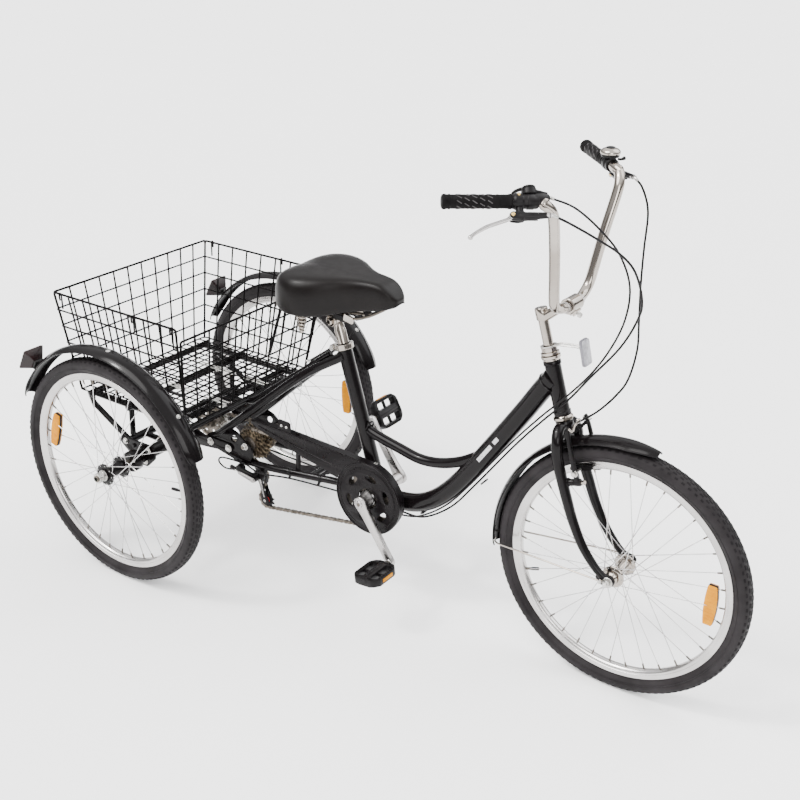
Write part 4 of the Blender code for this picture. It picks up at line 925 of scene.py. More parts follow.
def make_rear_fenders():
    """Both rear fenders, their arms and bolts, and the faceted lamps."""
    for name, side in SIDES:
        centre = v(0, side * HALF_TRACK, TYRE_RADIUS)

        def tip(angle):
            """Full width, rounded in at both ends."""
            if angle > 90:
                return min(1.0, 0.42 + 0.58 * math.sqrt(max(156.5 - angle, 0.0) / 9.0))
            return min(1.0, 0.62 + 0.38 * math.sqrt(max(angle - 21.5, 0.0) / 5.0))

        shape = Shape()
        fender_skin(shape, centre, 22, 156, crown=330, edge=318, half=26, steps=72, tip=tip)
        bolts = Shape()
        for angle, foot in ((86, (18, side * 236, 424)), (42, (165, side * 232, 440))):
            top = polar(centre, 325, angle, side * (HALF_TRACK - 12))
            arm = [top, v(top.x, side * (HALF_TRACK - 29), top.z - 12), v(*foot)]
            shape.tube(bend_round(arm, 12), 4.5, 14)
            out = polar((0, 0, 0), 1, angle)
            head = polar(centre, 329.5, angle, side * HALF_TRACK)
            bolts.lathe([(3.2, 0), (3.0, 3), (1.5, 5.4), (0, 5.8)], head, out, 20)
            eye = v(*foot)
            bolts.lathe([(4, 0), (4, 5.4), (3, 6.6), (0, 6.6)], eye + v(0, -side * 3, 2), UP, 6)
        piece(f"rear_fender_{name}_shell", shape, PAINT, replaced=[f"rear_fender_{name}"], sharp=50)
        piece(f"rear_fender_{name}_bolts", bolts, ZINC)
        make_lamp(name, side)


# The lamp's foot and the way it points, as angles round the rear wheel
LAMP_SEAT_RADIUS, LAMP_SEAT_ANGLE, LAMP_FACING = 333.5, 138, 152


def make_lamp(name, side):
    """A faceted smoked lamp on a black foot at the back of a rear fender."""
    seat = polar(AXLE, LAMP_SEAT_RADIUS, LAMP_SEAT_ANGLE, side * (HALF_TRACK - 3))
    out = polar((0, 0, 0), 1, LAMP_FACING)
    turn = axes_matrix(-ACROSS, ACROSS.cross(out))
    foot, shell, face = Shape(), Shape(), Shape()
    foot.box(seat + out * 3.5, (24, 24, 7), turn, 1.1)
    foot.rod(seat - out * 1, seat + out * 3, 8, 20)
    for shape, levels in (
            (shell, ((5, 13.0), (6, 14.2), (28, 28.6), (30, 29.8), (31.2, 29.8))),
            (face, ((30.6, 28.4), (33.0, 28.4), (35.0, 26.0)))):
        rings = []
        for height, half in levels:
            ring = []
            for x, y in (
                    (1, 0.9), (0.9, 1), (-0.9, 1), (-1, 0.9), (-1, -0.9), (-0.9, -1), (0.9, -1), (1, -0.9)):
                ring.append(seat + out * height + turn @ v(x * half, y * half, 0))
            rings.append(ring)
        shape.rings(rings)
    piece(f"fender_lamp_{name}_foot", foot, PLASTIC, bevel=1.2)
    piece(f"fender_lamp_{name}_shell", shell, LAMP, replaced=[f"fender_lamp_{name}"], sharp=20, bevel=0.8)
    piece(f"fender_lamp_{name}_face", face, LAMP_FACE, sharp=20, bevel=0.5)


def make_front_fender():
    """The front fender with its pointed tip, crown tab and wire stays."""
    centre = v(WHEELBASE, 0, TYRE_RADIUS)

    def tip(angle):
        """Full width behind, drawn in to a point at the front end."""
        if angle < 90:
            return 0.22 + 0.78 * math.sqrt(max(angle - 78, 0.0) / 12.0)
        return min(1.0, 0.75 + 0.25 * math.sqrt(max(187 - angle, 0.0) / 4.0))

    shape = Shape()
    fender_skin(shape, centre, 78.5, 187, crown=316, edge=304.5, half=26, steps=64, tip=tip)
    way = (along(-38) - centre).normalized()
    shape.box(centre + way * 322, (22, 15, 12), axes_matrix(AHEAD, ACROSS))
    piece("front_fender_shell", shape, PAINT, "steering", ["front_fender"], sharp=50)
    stays, bolts = Shape(), Shape()
    for side in (-1, 1):
        wire = [
            (914, side * 12, 277), (918, side * 24, 277), (934, side * 38, 280), (1180, side * 64.5, 299),
            (1206, side * 64.5, 299)]
        stays.tube(bend_round(wire, 14), 2.0, 10)
        eye = v(1206, side * 64.4, 299)
        stays.pin(eye, side * 62.7, side * 66.3, 5.0, 20)
        bolts.lathe([(3.5, 0), (3.5, 4.2), (2.6, 5.0), (0, 5.0)], beside(eye, side * 66.4), (0, side, 0), 6)
        bolts.ball(v(921, side * 27.4, 278), 3.2, 10, 0.6, ACROSS)
    piece("front_fender_stays", stays, CHROME, "steering")
    piece("front_fender_bolts", bolts, ZINC, "steering")


# Drive


RING_TEETH, JACK_TEETH, PULLEY_TEETH = 40, 20, 11
INNER_TEETH, AXLE_TEETH = 16, 20


def pitch_radius(teeth):
    """A chain wheel's pitch radius."""
    return CHAIN_PITCH / (2 * math.sin(math.pi / teeth))


TOOTH = ((0, -3.9), (0.17, -3.2), (0.3, -0.4), (0.43, 2.8), (0.57, 2.8), (0.7, -0.4), (0.83, -3.2))


def toothed(x, z, teeth, turn=0.0):
    """A chain wheel's edge, with a hollow for each roller."""
    pitch = pitch_radius(teeth)
    points = []
    for k in range(teeth):
        for share, out in TOOTH:
            a = 2 * math.pi * (k + share) / teeth + turn
            points.append((x + (pitch + out) * math.cos(a), z + (pitch + out) * math.sin(a)))
    return points


def belt(wheels):
    """Evenly spaced points (x, z) on the closed loop round chain wheels (x, z, teeth, turn)."""
    legs = []
    sized = [(x, z, pitch_radius(teeth), turn) for x, z, teeth, turn in wheels]
    for i, (x, z, r, s) in enumerate(sized):
        x2, z2, r2, s2 = sized[(i + 1) % len(sized)]
        span = math.hypot(x2 - x, z2 - z)
        legs.append(math.atan2(z2 - z, x2 - x) - math.asin((s2 * r2 - s * r) / span))
    dense = []
    for i, (x, z, r, s) in enumerate(sized):
        start, end = legs[i - 1] - s * math.pi / 2, legs[i] - s * math.pi / 2
        sweep = (end - start) % (2 * math.pi) if s > 0 else -((start - end) % (2 * math.pi))
        steps = max(2, round(abs(sweep) / math.radians(3)))
        for k in range(steps + 1):
            a = start + sweep * k / steps
            dense.append(Vector((x + r * math.cos(a), z + r * math.sin(a))))
    dense.append(dense[0])
    lengths = [(b - a).length for a, b in zip(dense, dense[1:])]
    count = 2 * round(sum(lengths) / CHAIN_PITCH / 2)
    gap = sum(lengths) / count
    points, run, index = [], 0.0, 0
    for k in range(count):
        target = k * gap
        while run + lengths[index] < target:
            run += lengths[index]
            index += 1
        t = (target - run) / max(lengths[index], 1e-6)
        points.append(dense[index].lerp(dense[index + 1], t))
    return points


def make_chain(name, wheels, y, node):
    """A roller chain: inner and outer plates in turn, with their rollers and pins."""
    points = belt(wheels)
    links, pins = Shape(), Shape()
    waist = [(0.22, 3.7), (0.5, 2.9), (0.78, 3.7)]
    for i, a in enumerate(points):
        b = points[(i + 1) % len(points)]
        span = (b - a).length
        outline = circle(0, 0, 4.1, 7, 100, 260)
        outline += [(span * t, -w) for t, w in waist]
        outline += circle(span, 0, 4.1, 7, -80, 80)
        outline += [(span * t, w) for t, w in waist[::-1]]
        way = v(b.x - a.x, 0, b.y - a.y)
        turn = axes_matrix(way, way.cross(ACROSS))
        for side in (-1, 1):
            depth = 3.5 if i % 2 else 2.35
            links.prism(outline, 1.0, v(a.x, y + side * depth, a.y), turn)
        pins.rod(v(a.x, y - 1.8, a.y), v(a.x, y + 1.8, a.y), 3.9, 10, 0.3)
        pins.rod(v(a.x, y - 4.6, a.y), v(a.x, y + 4.6, a.y), 1.8, 8, 0.4)
    piece(f"{name}_plates", links, CHAIN, replaced=[node], weld=False)
    piece(f"{name}_rollers", pins, STEEL, weld=False)


def make_chains():
    """The long drive chain and the short axle chain."""
    drive = [
        (BRACKET.x, BRACKET.z, RING_TEETH, 1), (JACK.x, JACK.z, JACK_TEETH, 1),
        (GUIDE.x, GUIDE.z, PULLEY_TEETH, -1), (TENSION.x, TENSION.z, PULLEY_TEETH, 1)]
    make_chain("drive_chain", drive, CHAIN_Y, "drive_chain")
    short = [(JACK.x, JACK.z, INNER_TEETH, 1), (0.0, TYRE_RADIUS, AXLE_TEETH, 1)]
    make_chain("axle_chain", short, 5.0, "axle_chain")


def crank_reach(side):
    """From the bottom bracket's centre to the middle of a crank's pedal eye."""
    return v(math.cos(CRANK_ANGLE), 0, math.sin(CRANK_ANGLE)) * CRANK_LENGTH * -side


def make_crankset():
    """The bright cranks with their bolts, and the toothed chainring."""
    for name, side in SIDES:
        foot = BRACKET + crank_reach(side)
        way = Vector((foot.x - BRACKET.x, foot.z - BRACKET.z)).normalized()
        across = Vector((-way.y, way.x))
        half = [
            (-17, 5), (-13, 12.2), (-5, 16.8), (6, 17.0), (18, 14.6), (38, 12.6), (80, 11.2), (124, 10.4),
            (146, 11.0), (158, 11.9), (167, 9.6), (171.5, 4)]
        local = half + [(t, -w) for t, w in half[::-1]]
        base = Vector((BRACKET.x, BRACKET.z))
        outline = [tuple(base + way * t + across * w) for t, w in local]
        arm = Shape().side_plate([outline], 13.0, side * CRANK_Y, 2.6)
        out = v(0, side, 0)
        hub = BRACKET
        if side == RIGHT:
            arm.lathe(
                [(78, 17), (66, 17.5), (61, 20.5), (51, 22), (49, 21), (38, 17), (37.5, 10)], hub, out, 40)
        else:
            arm.lathe([(78, 15), (60, 15.6), (42, 14), (37.6, 12), (37.6, 10)], hub, out, 36)
        arm.lathe([(92, 0), (92, 7.2), (91, 8.6), (88, 9.4)], hub, out, 32)
        arm.lathe([(90.4, 0), (90.4, 8), (89.6, 9.2), (88, 9.6)], foot, out, 28)
        piece(f"crank_{name}_arm", arm, ALLOY, "crankset", [f"crank_{name}"], sharp=50)
        trim = Shape()
        trim.lathe([(93.4, 0), (93.4, 4.6), (92.2, 5.4)], hub, out, 6)
        trim.rod(foot + out * 88, foot + out * 100, 7.4, 6, 0.8)
        trim.rod(foot + out * 99, foot + out * 104, 5.2, 18)
        trim.rod(BRACKET + out * 34, BRACKET + out * 38, 12.0, 28)
        piece(f"crank_{name}_bolt", trim, STEEL, "crankset")
    ring, bolts = Shape(), Shape()
    x, z = BRACKET.x, BRACKET.z
    outlines = [toothed(x, z, RING_TEETH), circle(x, z, 17.2, 32)]
    for k in range(5):
        a = 2 * math.pi * (k + 0.5) / 5
        outlines.append(circle(x + 46 * math.cos(a), z + 46 * math.sin(a), 16, 24))
        b = 2 * math.pi * k / 5
        spot = v(x + 64 * math.cos(b), CHAIN_Y, z + 64 * math.sin(b))
        bolts.rod(spot - v(0, 3.4, 0), spot + v(0, 3.0, 0), 4.6, 16)
    ring.side_plate(outlines, 2.4, CHAIN_Y, 0.5)
    piece("chainring_plate", ring, STEEL, "crankset", ["chainring"])
    piece("chainring_bolts", bolts, ZINC, "crankset")


def make_pedals():
    """Two moulded platform pedals with ribs, treads and amber reflectors."""
    for name, side, tilt in (("right", RIGHT, 6), ("left", LEFT, -62)):
        foot = beside(BRACKET + crank_reach(side), side * 145)
        turn = pitch(-tilt)
        body, lens = Shape(), Shape()
        edge = [(-38, -31), (-25, -46), (25, -46), (38, -31), (38, 31), (25, 46), (-25, 46), (-38, 31)]
        slots = [rounded([(s * 11, -33), (s * 11, 33), (s * 29, 33), (s * 29, -33)], 4) for s in (-1, 1)]
        body.plate([rounded(edge, 6)] + slots, 19.0, foot, turn, 1.6)

        def at(x, y, z):
            """A point in the pedal's own axes."""
            return foot + turn @ v(x, y, z)

        for s in (-1, 1):
            for k in range(-3, 4):
                for face in (-1, 1):
                    body.box(at(s * 33.4, k * 8.4, face * 9.8), (5.6, 4.4, 2.6), turn, 0.8)
            body.box(at(s * 20, 0, 0), (19, 2.6, 9), turn)
            body.box(at(0, s * 41, 0), (34, 6, 23), turn, 0.94)
            lens.plate(
                [rounded([(-19, -4.4), (19, -4.4), (19, 4.4), (-19, 4.4)], 2)], 2.4, at(s * 37.9, 0, 0),
                turn @ axes_matrix(ACROSS, UP), 0.6)
        body.lathe(
            [(48, 5.6), (48, 9.2), (44, 10.5), (-42, 10.5), (-47, 8.5), (-47, 0)], foot, (0, -side, 0), 28)
        piece(f"pedal_{name}_body", body, PLASTIC, f"pedal_{name}", [f"pedal_{name}"], sharp=40)
        piece(f"pedal_{name}_reflectors", lens, AMBER, f"pedal_{name}")


def make_freewheel():
    """Six toothed cogs on their hub, the jackshaft with its nuts, and the inner sprocket."""
    cogs = Shape()
    x, z = JACK.x, JACK.z
    for y, teeth in ((-30, 24), (-35, 22), (-40, 21), (-45, 20), (-50, 18), (-55, 15)):
        lighten = [circle(x, z, pitch_radius(teeth) * 0.62, 28)]
        cogs.side_plate([toothed(x, z, teeth, 0.1 * teeth)] + lighten, 2.2, y, 0.4)
    cogs.side_plate([toothed(x, z, INNER_TEETH), circle(x, z, 13, 20)], 2.4, 5.0, 0.4)
    piece("freewheel_cogs", cogs, COG, "freewheel", ["freewheel"])
    hub = Shape()
    hub.lathe(
        [(60, 5), (60, 14), (8, 14), (8, 18), (-22, 18), (-27, 31), (-33, 31), (-33, 27), (-53, 22),
        (-56, 17), (-58, 12), (-62, 12), (-62, 5)], JACK, ACROSS, 36)
    hub.pin(JACK, -84, 84, 4.9, 20)
    piece("freewheel_hub", hub, STEEL, "freewheel", sharp=30)
    nuts = Shape()
    for side in (-1, 1):
        nuts.lathe([(8, 0), (8, 6.4), (6.6, 8.0), (0, 8.0)], beside(JACK, side * 74), (0, side, 0), 6)
        nuts.pin(JACK, side * 73.6, side * 75, 9.6, 24)
    piece("freewheel_nuts", nuts, ZINC, "freewheel")


def make_rear_axle():
    """The driving axle with its toothed sprocket, brake drum and collars."""
    axle, drum = Shape(), Shape()
    axle.pin(AXLE, -398.6, 398.6, 8.5, 28, 1.2)
    axle.lathe([(30, 8.6), (30, 15.6), (-7.6, 15.6), (-7.6, 8.6)], AXLE, ACROSS, 32)
    axle.side_plate(
        [toothed(0, TYRE_RADIUS, AXLE_TEETH), circle(0, TYRE_RADIUS, 15.7, 28)] + [circle(27 * math.cos(a),
        TYRE_RADIUS + 27 * math.sin(a), 5, 14) for a in [math.pi * k / 3 for k in range(6)]], 2.4, 5.0, 0.4)
    piece("rear_axle_shaft", axle, STEEL, "drive_axle", ["rear_axle"], sharp=40)
    ends = Shape()
    for side in (-1, 1):
        ends.lathe(
            [(12.2, 0), (12.2, 5.6), (8.8, 6.4), (8.8, 12.2), (7.6, 13), (0, 13)], beside(AXLE, side * 386),
            (0, side, 0), 32)
    piece("rear_axle_ends", ends, ZINC, "drive_axle")
    drum.lathe(
        [(57, 9), (57, 37), (56, 40), (54, 42), (34, 42), (32, 40.5), (31, 38), (31, 16)], AXLE, ACROSS, 56)
    piece("brake_drum", drum, ZINC, "drive_axle")


def make_chain_guard():
    """The chain guard: an embossed, pierced disc, a long arm and a lip turned in over the chain."""
    x, z, y = BRACKET.x, BRACKET.z, CHAIN_Y - 9.5
    rim = circle(x, z, 95.0, 60, -206, 78)
    arm = [
        (560, z + 95.6), (530, 380.4), (500, 382), (366, 386), (340, 387), (338, 414), (333, 417),
        (303, 418), (298, 415), (298, 388), (216, 391), (207, 389), (208, 380), (214, 374), (262, 360),
        (380, 332), (440, 322), (484, 310)]
    lenses = []
    for k in range(6):
        a = math.radians(60 * k + 20)
        out, tangent = Vector((math.cos(a), math.sin(a))), Vector((-math.sin(a), math.cos(a)))
        spot = Vector((x, z)) + out * 58
        lens = []
        for i in range(20):
            t = 2 * math.pi * i / 20
            bow = out * (8.0 * math.sin(t)) - out * (0.05 * (17 * math.cos(t)) ** 2 / 6)
            lens.append(tuple(spot + tangent * 17 * math.cos(t) + bow))
        lenses.append(lens)
    plate = Shape().side_plate([rim + arm, circle(x, z, 26, 40)] + lenses, 2.5, y, 0.7)
    face = [circle(x, z, 80.5, 72), circle(x, z, 26.6, 40)]
    face += lenses
    plate.side_plate(face, 1.6, y - 1.5, 0.5)
    for radius, thick in ((93.2, 1.7), (82.6, 0.9)):
        plate.hoop(v(x, y - 1.3, z), FORWARD, UP, radius, thick, 90)
    lip = [(210, 390.0), (300, 387.8), (366, 385.6), (500, 381.4), (535, 379.6), (560, 377.4)]
    lip += [
        (x + 94.4 * math.cos(a), z + 94.4 * math.sin(a)) for a in [math.radians(78 - 6 * k)
        for k in range(20)]]
    rings = []
    for i, (px, pz) in enumerate(lip):
        fade = min(1.0, (len(lip) - 1 - i) / 5 + 0.12, i / 2 + 0.5)
        toward = Vector((x - px, z - pz)).normalized() if px > 500 else Vector((0, -1))
        near, far = y - 0.6, y + 1.5 + 19 * fade
        ring = [
            v(px, near, pz), v(px, far, pz), v(px + toward.x * 1.6, far, pz + toward.y * 1.6),
            v(px + toward.x * 1.6, near, pz + toward.y * 1.6)]
        rings.append(ring)
    plate.rings(rings)
    edge = [v(px, y - 1.0, pz) for px, pz in lip[:6]]
    plate.tube(edge, 1.3, 8)
    seam = [(232, 378), (300, 366), (400, 352), (470, 343)]
    plate.tube([v(px, y - 1.3, pz) for px, pz in seam], 1.1, 8)
    piece("chain_guard_shell", plate, GUARD, replaced=["chain_guard"], sharp=45)
    bolts, tab = Shape(), Shape()
    for px, pz in ((310, 402), (326, 402)):
        bolts.rod(v(px, y - 1.0, pz), v(px, y - 3.6, pz), 3.6, 18)
    bolts.lathe([(4.4, 0), (4.4, 5.2), (3.6, 6.4), (0, 6.4)], (589, -38, 372), (0, -0.4, 1), 6)
    tab.side_plate([rounded([(573, 300), (604, 300), (599, 374), (580, 374)], 4)], 3.0, -36.4, 0.6)
    tab.side_plate([rounded([(346, 268), (364, 268), (360, 392), (350, 392)], 3)], 2.6, -47.5, 0.6)
    piece("chain_guard_bolts", bolts, ZINC)
    piece("chain_guard_brackets", tab, PAINT)


def make_derailleur():
    """The derailleur: hanger, knuckle, bright link, cage plates, and toothed pulleys."""
    y = CHAIN_Y
    half = [
        (-10, 0), (-7, 8), (0, 11), (12, 10), (26, 6.5), (44, 5.8), (58, 9), (72, 12.6), (82, 10), (85, 0)]
    way = Vector((TENSION.x - GUIDE.x, TENSION.z - GUIDE.z)).normalized()
    across = Vector((-way.y, way.x))
    outline = [
        tuple(Vector((GUIDE.x, GUIDE.z)) + way * t + across * w) for t, w in half + [(t, -w) for t,
        w in half[-2:0:-1]]]
    black, bright = Shape(), Shape()
    black.side_plate([outline], 2.0, y + 8.0, 0.5)
    black.side_plate([outline], 2.0, y - 8.0, 0.5)
    slim = [
        tuple(Vector((GUIDE.x, GUIDE.z)) + way * t + across * w) for t, w in ((6, 4.5), (62, 2.6),
        (64, -1.4), (6, -3.5))]
    bright.side_plate([rounded(slim, 2)], 0.9, y - 9.3, 0.2)
    hanger = [(176, 262), (198, 264), (200, 244), (194, 236), (178, 238), (172, 250)]
    black.side_plate([rounded(hanger, 6)], 6.0, -77.2, 1.0)
    black.lathe(
        [(-88.4, 0), (-88.4, 8.5), (-87, 10.8), (-75, 11.4), (-73.6, 10.6)], (186, 0, 252), ACROSS, 32)
    black.tube(
        [(184, -82, 252), (204, -83, 247), (226, -79, 241), (233, -75, 237)], 8.2, 18,
        radii=[1.0, 0.92, 0.92, 1.0])
    black.lathe(
        [(-86, 0), (-86, 9), (-84.6, 11.6), (-62, 12.4), (-60, 11), (-53, 11), (-52.4, 9)], (228, 0, 236),
        ACROSS, 32)
    black.box(v(246, -63, 246), (20, 14, 26), pitch(24), 0.8)
    black.box(v(258, -60, 236), (6, 9, 24), pitch(6), 0.7)
    black.lathe([(0, 5.4), (14, 5.4), (16, 4.2), (16, 2)], (170, -83, 246), (-0.95, 0, 0.2), 16)
    link = [(-24, -5.2), (24, -7.0), (27, -3), (27, 3), (24, 6.2), (-24, 5.2), (-27, 0)]
    bright.plate(
        [rounded(link, 3)], 3.6, (215, -90.4, 240.5), axes_matrix((1, 0.04, -0.2), (0.2, 0, 1)), 0.9)
    for px, pz in ((192, 245), (238, 235.6)):
        bright.lathe([(0, 4.6), (1.8, 4.4), (2.4, 3.4), (2.4, 0)], (px, -92.0, pz), (0, -1, 0), 20)
    for wheel in (GUIDE, TENSION):
        bright.pin(wheel, y - 11.2, y - 8.9, 4.4, 18)
    piece("derailleur_body", black, PLASTIC, replaced=["derailleur"], sharp=40)
    piece("derailleur_link", bright, ALLOY)
    for name, wheel in (("guide_pulley", GUIDE), ("tension_pulley", TENSION)):
        teeth = Shape().side_plate(
            [toothed(wheel.x, wheel.z, PULLEY_TEETH), circle(wheel.x, wheel.z, 9.0, 24)], 3.6, y, 0.5)
        piece(f"{name}_teeth", teeth, PLASTIC, name, [name])
        core = Shape().lathe(
            [(3.6, 3.3), (3.6, 7.6), (2.6, 9.2), (-2.6, 9.2), (-3.6, 7.6), (-3.6, 3.3)], beside(wheel, y),
            ACROSS, 28, ring=True)
        piece(f"{name}_core", core, CORE, name)
        pin = Shape().pin(wheel, y - 8, y + 9.6, 3.0, 16)
        piece(f"{name}_pin", pin, ZINC)


# Seat


SADDLE = (
    (320, 22, 779, 797), (322, 44, 774, 801), (327, 68, 763, 810), (336, 92, 752, 818),
    (350, 111, 744, 825), (370, 122, 739, 830), (395, 127.5, 737, 832.5), (420, 126, 737, 833),
    (445, 117, 739, 833), (470, 102, 742, 832.5), (492, 82, 747, 831.8), (515, 64, 752, 831),
    (540, 49, 756, 830.5), (565, 42.5, 761, 830), (587, 39, 765, 828), (601, 36, 769, 821.5),
    (613, 31.5, 773, 812), (622, 25, 776, 802), (628, 17, 779, 795), (630, 10, 782, 791))
SKIN = (
    (0, 0.0), (0.24, 0.0), (0.45, 0.004), (0.62, 0.014), (0.78, 0.05), (0.89, 0.12), (0.955, 0.24),
    (0.99, 0.42), (1.0, 0.56), (1.0, 0.78), (0.985, 0.92), (0.95, 0.985), (0.90, 0.995), (0.84, 0.94),
    (0.6, 0.84), (0.3, 0.8), (0, 0.8))


def make_saddle():
    """The padded cover: a crowned form with full wings, a soft shoulder and an edge turned under."""
    shape = Shape()
    rings = []
    for i, (x, half, low, high) in enumerate(SADDLE):
        right = []
        for share, fall in SKIN:
            dip = 1.6 * math.exp(-((share * half) / 16) ** 2) * min(i / 4, 1) * (1 if x < 560 else 0.4)
            wing = 2.2 * math.sin(
                math.pi * min(share, 1)) * max(0, 1 - abs(x - 410) / 110) if fall < 0.2 else 0
            z = high - (high - low) * fall - (dip - wing if fall < 0.2 else 0)
            right.append(v(x, -half * share, max(z, 738.6)))
        left = [v(p.x, -p.y, p.z) for p in right[-2:0:-1]]
        rings.append(right + left)
    shape.rings(rings)
    cover = piece("saddle_cover", shape, VINYL, "saddle", ["saddle"], sharp=180, subdivide=2)
    hem = Shape()
    edge = []
    for side in (-1, 1):
        row = [
            (x, side * half * 0.885, max(low + (high - low) * 0.012, 739.4)) for x, half, low,
            high in SADDLE]
        edge += row if side < 0 else row[::-1]
    hem.tube(smooth(edge, 2), 1.5, 8)
    pan = Shape()
    rings = []
    for x, half, low, high in SADDLE[2:-1]:
        z = low + (high - low) * 0.36
        rings.append(
            [v(x, y * half * 0.74, z - 1.5 * (1 - abs(y)) + t) for y, t in ((-1, 0), (-0.5, -2), (0, -3),
            (0.5, -2), (1, 0), (1, 2), (0, 2), (-1, 2))])
    pan.rings(rings)
    piece("saddle_pan", pan, PLASTIC, "saddle")
    piece("saddle_hem", hem, PLASTIC, "saddle")


def make_saddle_rails():
    """The undercarriage: rails, a rear bridge, coil cones, and the clamp's cheeks and nuts."""
    rails, cones, clamp, dark = Shape(), Shape(), Shape(), Shape()
    for side in (-1, 1):
        rail = [
            (590, side * 8, 762), (585, side * 10, 757.5), (545, side * 16, 735), (500, side * 21, 722),
            (430, side * 21, 716), (404, side * 40, 724), (396, side * 70, 728)]
        rails.tube(smooth(rail, 6), 3.6, 14)
        spring = v(396, side * 72, 706)
        coil = []
        for k in range(90):
            t = k / 89
            a = 2 * math.pi * 5.5 * t
            r = 15.0 - 10.0 * t
            coil.append(spring + v(r * math.cos(a), r * math.sin(a), 22 - 48 * t))
        cones.tube(coil, 1.7, 8)
        cones.lathe([(24, 0), (24, 17), (20, 17.4), (17, 15)], spring, UP, 32)
        cones.lathe([(17, 10.5), (-10, 5.5), (-27, 3.4), (-28, 0)], spring, UP, 28)
        out = v(0, side, 0)
        clamp.lathe([(26, 0), (26, 12.4), (25, 14), (20.8, 14)], SEAT_PIVOT, out, 44)
        clamp.lathe([(33.4, 0), (33.4, 6.8), (32, 9.0), (26, 9.0)], SEAT_PIVOT, out, 6)
        dark.lathe([(20.8, 13.6), (17.3, 13.6), (17.3, 3)], SEAT_PIVOT, out, 40)
        clamp.box(v(498, side * 23.4, 722), (26, 6.4, 17), pitch(12))
        dark.box(v(470, side * 22.4, 718.5), (34, 4.4, 15), pitch(4))
        dark.box(v(524, side * 17.4, 729), (22, 5, 12), pitch(-22))
    rails.tube([(396, -72, 724), (396, 72, 724)], 4.0, 16)
    rails.tube([(588, -10, 760.5), (588, 10, 760.5)], 3.6, 14)
    piece("saddle_rail_wires", rails, STEEL, "saddle", ["saddle_rails"])
    piece("saddle_coils", cones, CHROME, "saddle")
    piece("saddle_clamp_cheeks", clamp, CHROME, "saddle", sharp=30, bevel=0.7)
    piece("saddle_clamp_bars", dark, PLASTIC, "saddle", bevel=0.8)


def make_seat_post():
    """The plated post with its cross barrel, and the clamp on the seat tube with its bolt."""
    post = Shape()
    post.lathe(
        [(-150, 0), (-150, 12.6), (-148, 13.8), (34, 13.8), (37, 12.6), (52, 12.0), (60, 12.0)], SEAT_TOP,
        SEAT_AXIS, 40)
    post.pin(SEAT_PIVOT, -17, 17, 12.9, 36)
    piece("seat_post_tube", post, CHROME, "seat_post", ["seat_post"])
    clamp, bolt = Shape(), Shape()
    clamp.lathe(
        [(-14, 18.0), (-14, 21.8), (-13, 23), (-1, 23), (0, 21.8), (0, 18.0)], SEAT_TOP, SEAT_AXIS, 44)
    back = SEAT_AXIS.cross(ACROSS).normalized()
    back = back if back.x < 0 else -back
    lug = SEAT_TOP - SEAT_AXIS * 7 + back * 28
    turn = axes_matrix(back, ACROSS)
    for side in (-1, 1):
        clamp.box(lug + v(0, side * 4.6, 0), (19, 6.4, 13), turn)
        bolt.rod(lug + back * 2 + v(0, side * 7.6, 0), lug + back * 2 + v(0, side * 14.6, 0), 6.2, 6)
    bolt.rod(lug + back * 2 + v(0, -12, 0), lug + back * 2 + v(0, 12, 0), 2.6, 14)
    piece("seat_clamp_band", clamp, CHROME, replaced=["seat_clamp"], bevel=0.8)
    piece("seat_clamp_bolt", bolt, ZINC)


# Cockpit


def hand(side):
    """Directions at a grip: outwards along the bar, and from the bar towards the lever."""
    out = (GRIP_END - GRIP_INNER).normalized()
    level = v(-out.y, out.x, 0.0).normalized()
    level = level if level.x > 0 else -level
    drop = level * math.cos(LEVER_DROP) - UP * math.sin(LEVER_DROP)
    inner = GRIP_INNER.copy()
    for vector in (out, drop, inner):
        vector.y *= -side
    return inner, out, drop


def reach(side, run, away, up=0.0):
    """A point near a grip: along the bar from its inner end, away towards the lever, and up."""
    inner, out, drop = hand(side)
    normal = out.cross(drop) * (1 if side < 0 else -1)
    return inner + out * run + drop * away + normal * up


def make_stem():
    """The quill stem with its wedge bolt, extension and handlebar clamp."""
    top, clamp = v(986, 0, 851), v(1056, 0, 878)
    shape = Shape()
    shape.rod(along(70), top + STEER * 2, 11.1, 36, 1.0)
    length = 26
    shape.lathe(
        [(0, 11), (0, 13), (1.5, 14), (length - 2, 14), (length, 12.6), (length, 5.5), (length - 4, 5),
        (length - 4, 0)], top - STEER * 22, STEER, 40)
    neck = [top - STEER * 19, top - STEER * 13 + v(14, 0, 4), top + v(40, 0, 9), clamp - v(8, 0, 6)]
    shape.tube(smooth(neck, 5), 10.6, 24, radii=[1.08 - 0.012 * k for k in range(16)])
    shape.lathe([(-21, 12), (-21, 15.6), (-19.4, 17), (19.4, 17), (21, 15.6), (21, 12)], clamp, ACROSS, 44)
    lug = clamp + v(9, 0, -15)
    for side in (-1, 1):
        shape.box(lug + v(side * 3.2, 0, 0), (4.6, 22, 13), pitch(25))
    piece("stem_body", shape, CHROME, "steering", ["stem"], sharp=40)
    bolt = Shape().rod(lug + v(-9, 0, 4), lug + v(15, 0, -7), 3.4, 16)
    bolt.rod(lug + v(8, 0, -3.6), lug + v(14, 0, -6.2), 6.4, 6)
    bolt.lathe([(-3, 5.6), (0, 5.6), (0, 3.2), (-4, 3.0), (-4, 0)], top + STEER * 4.2, STEER, 6)
    piece("stem_bolts", bolt, ZINC, "steering")


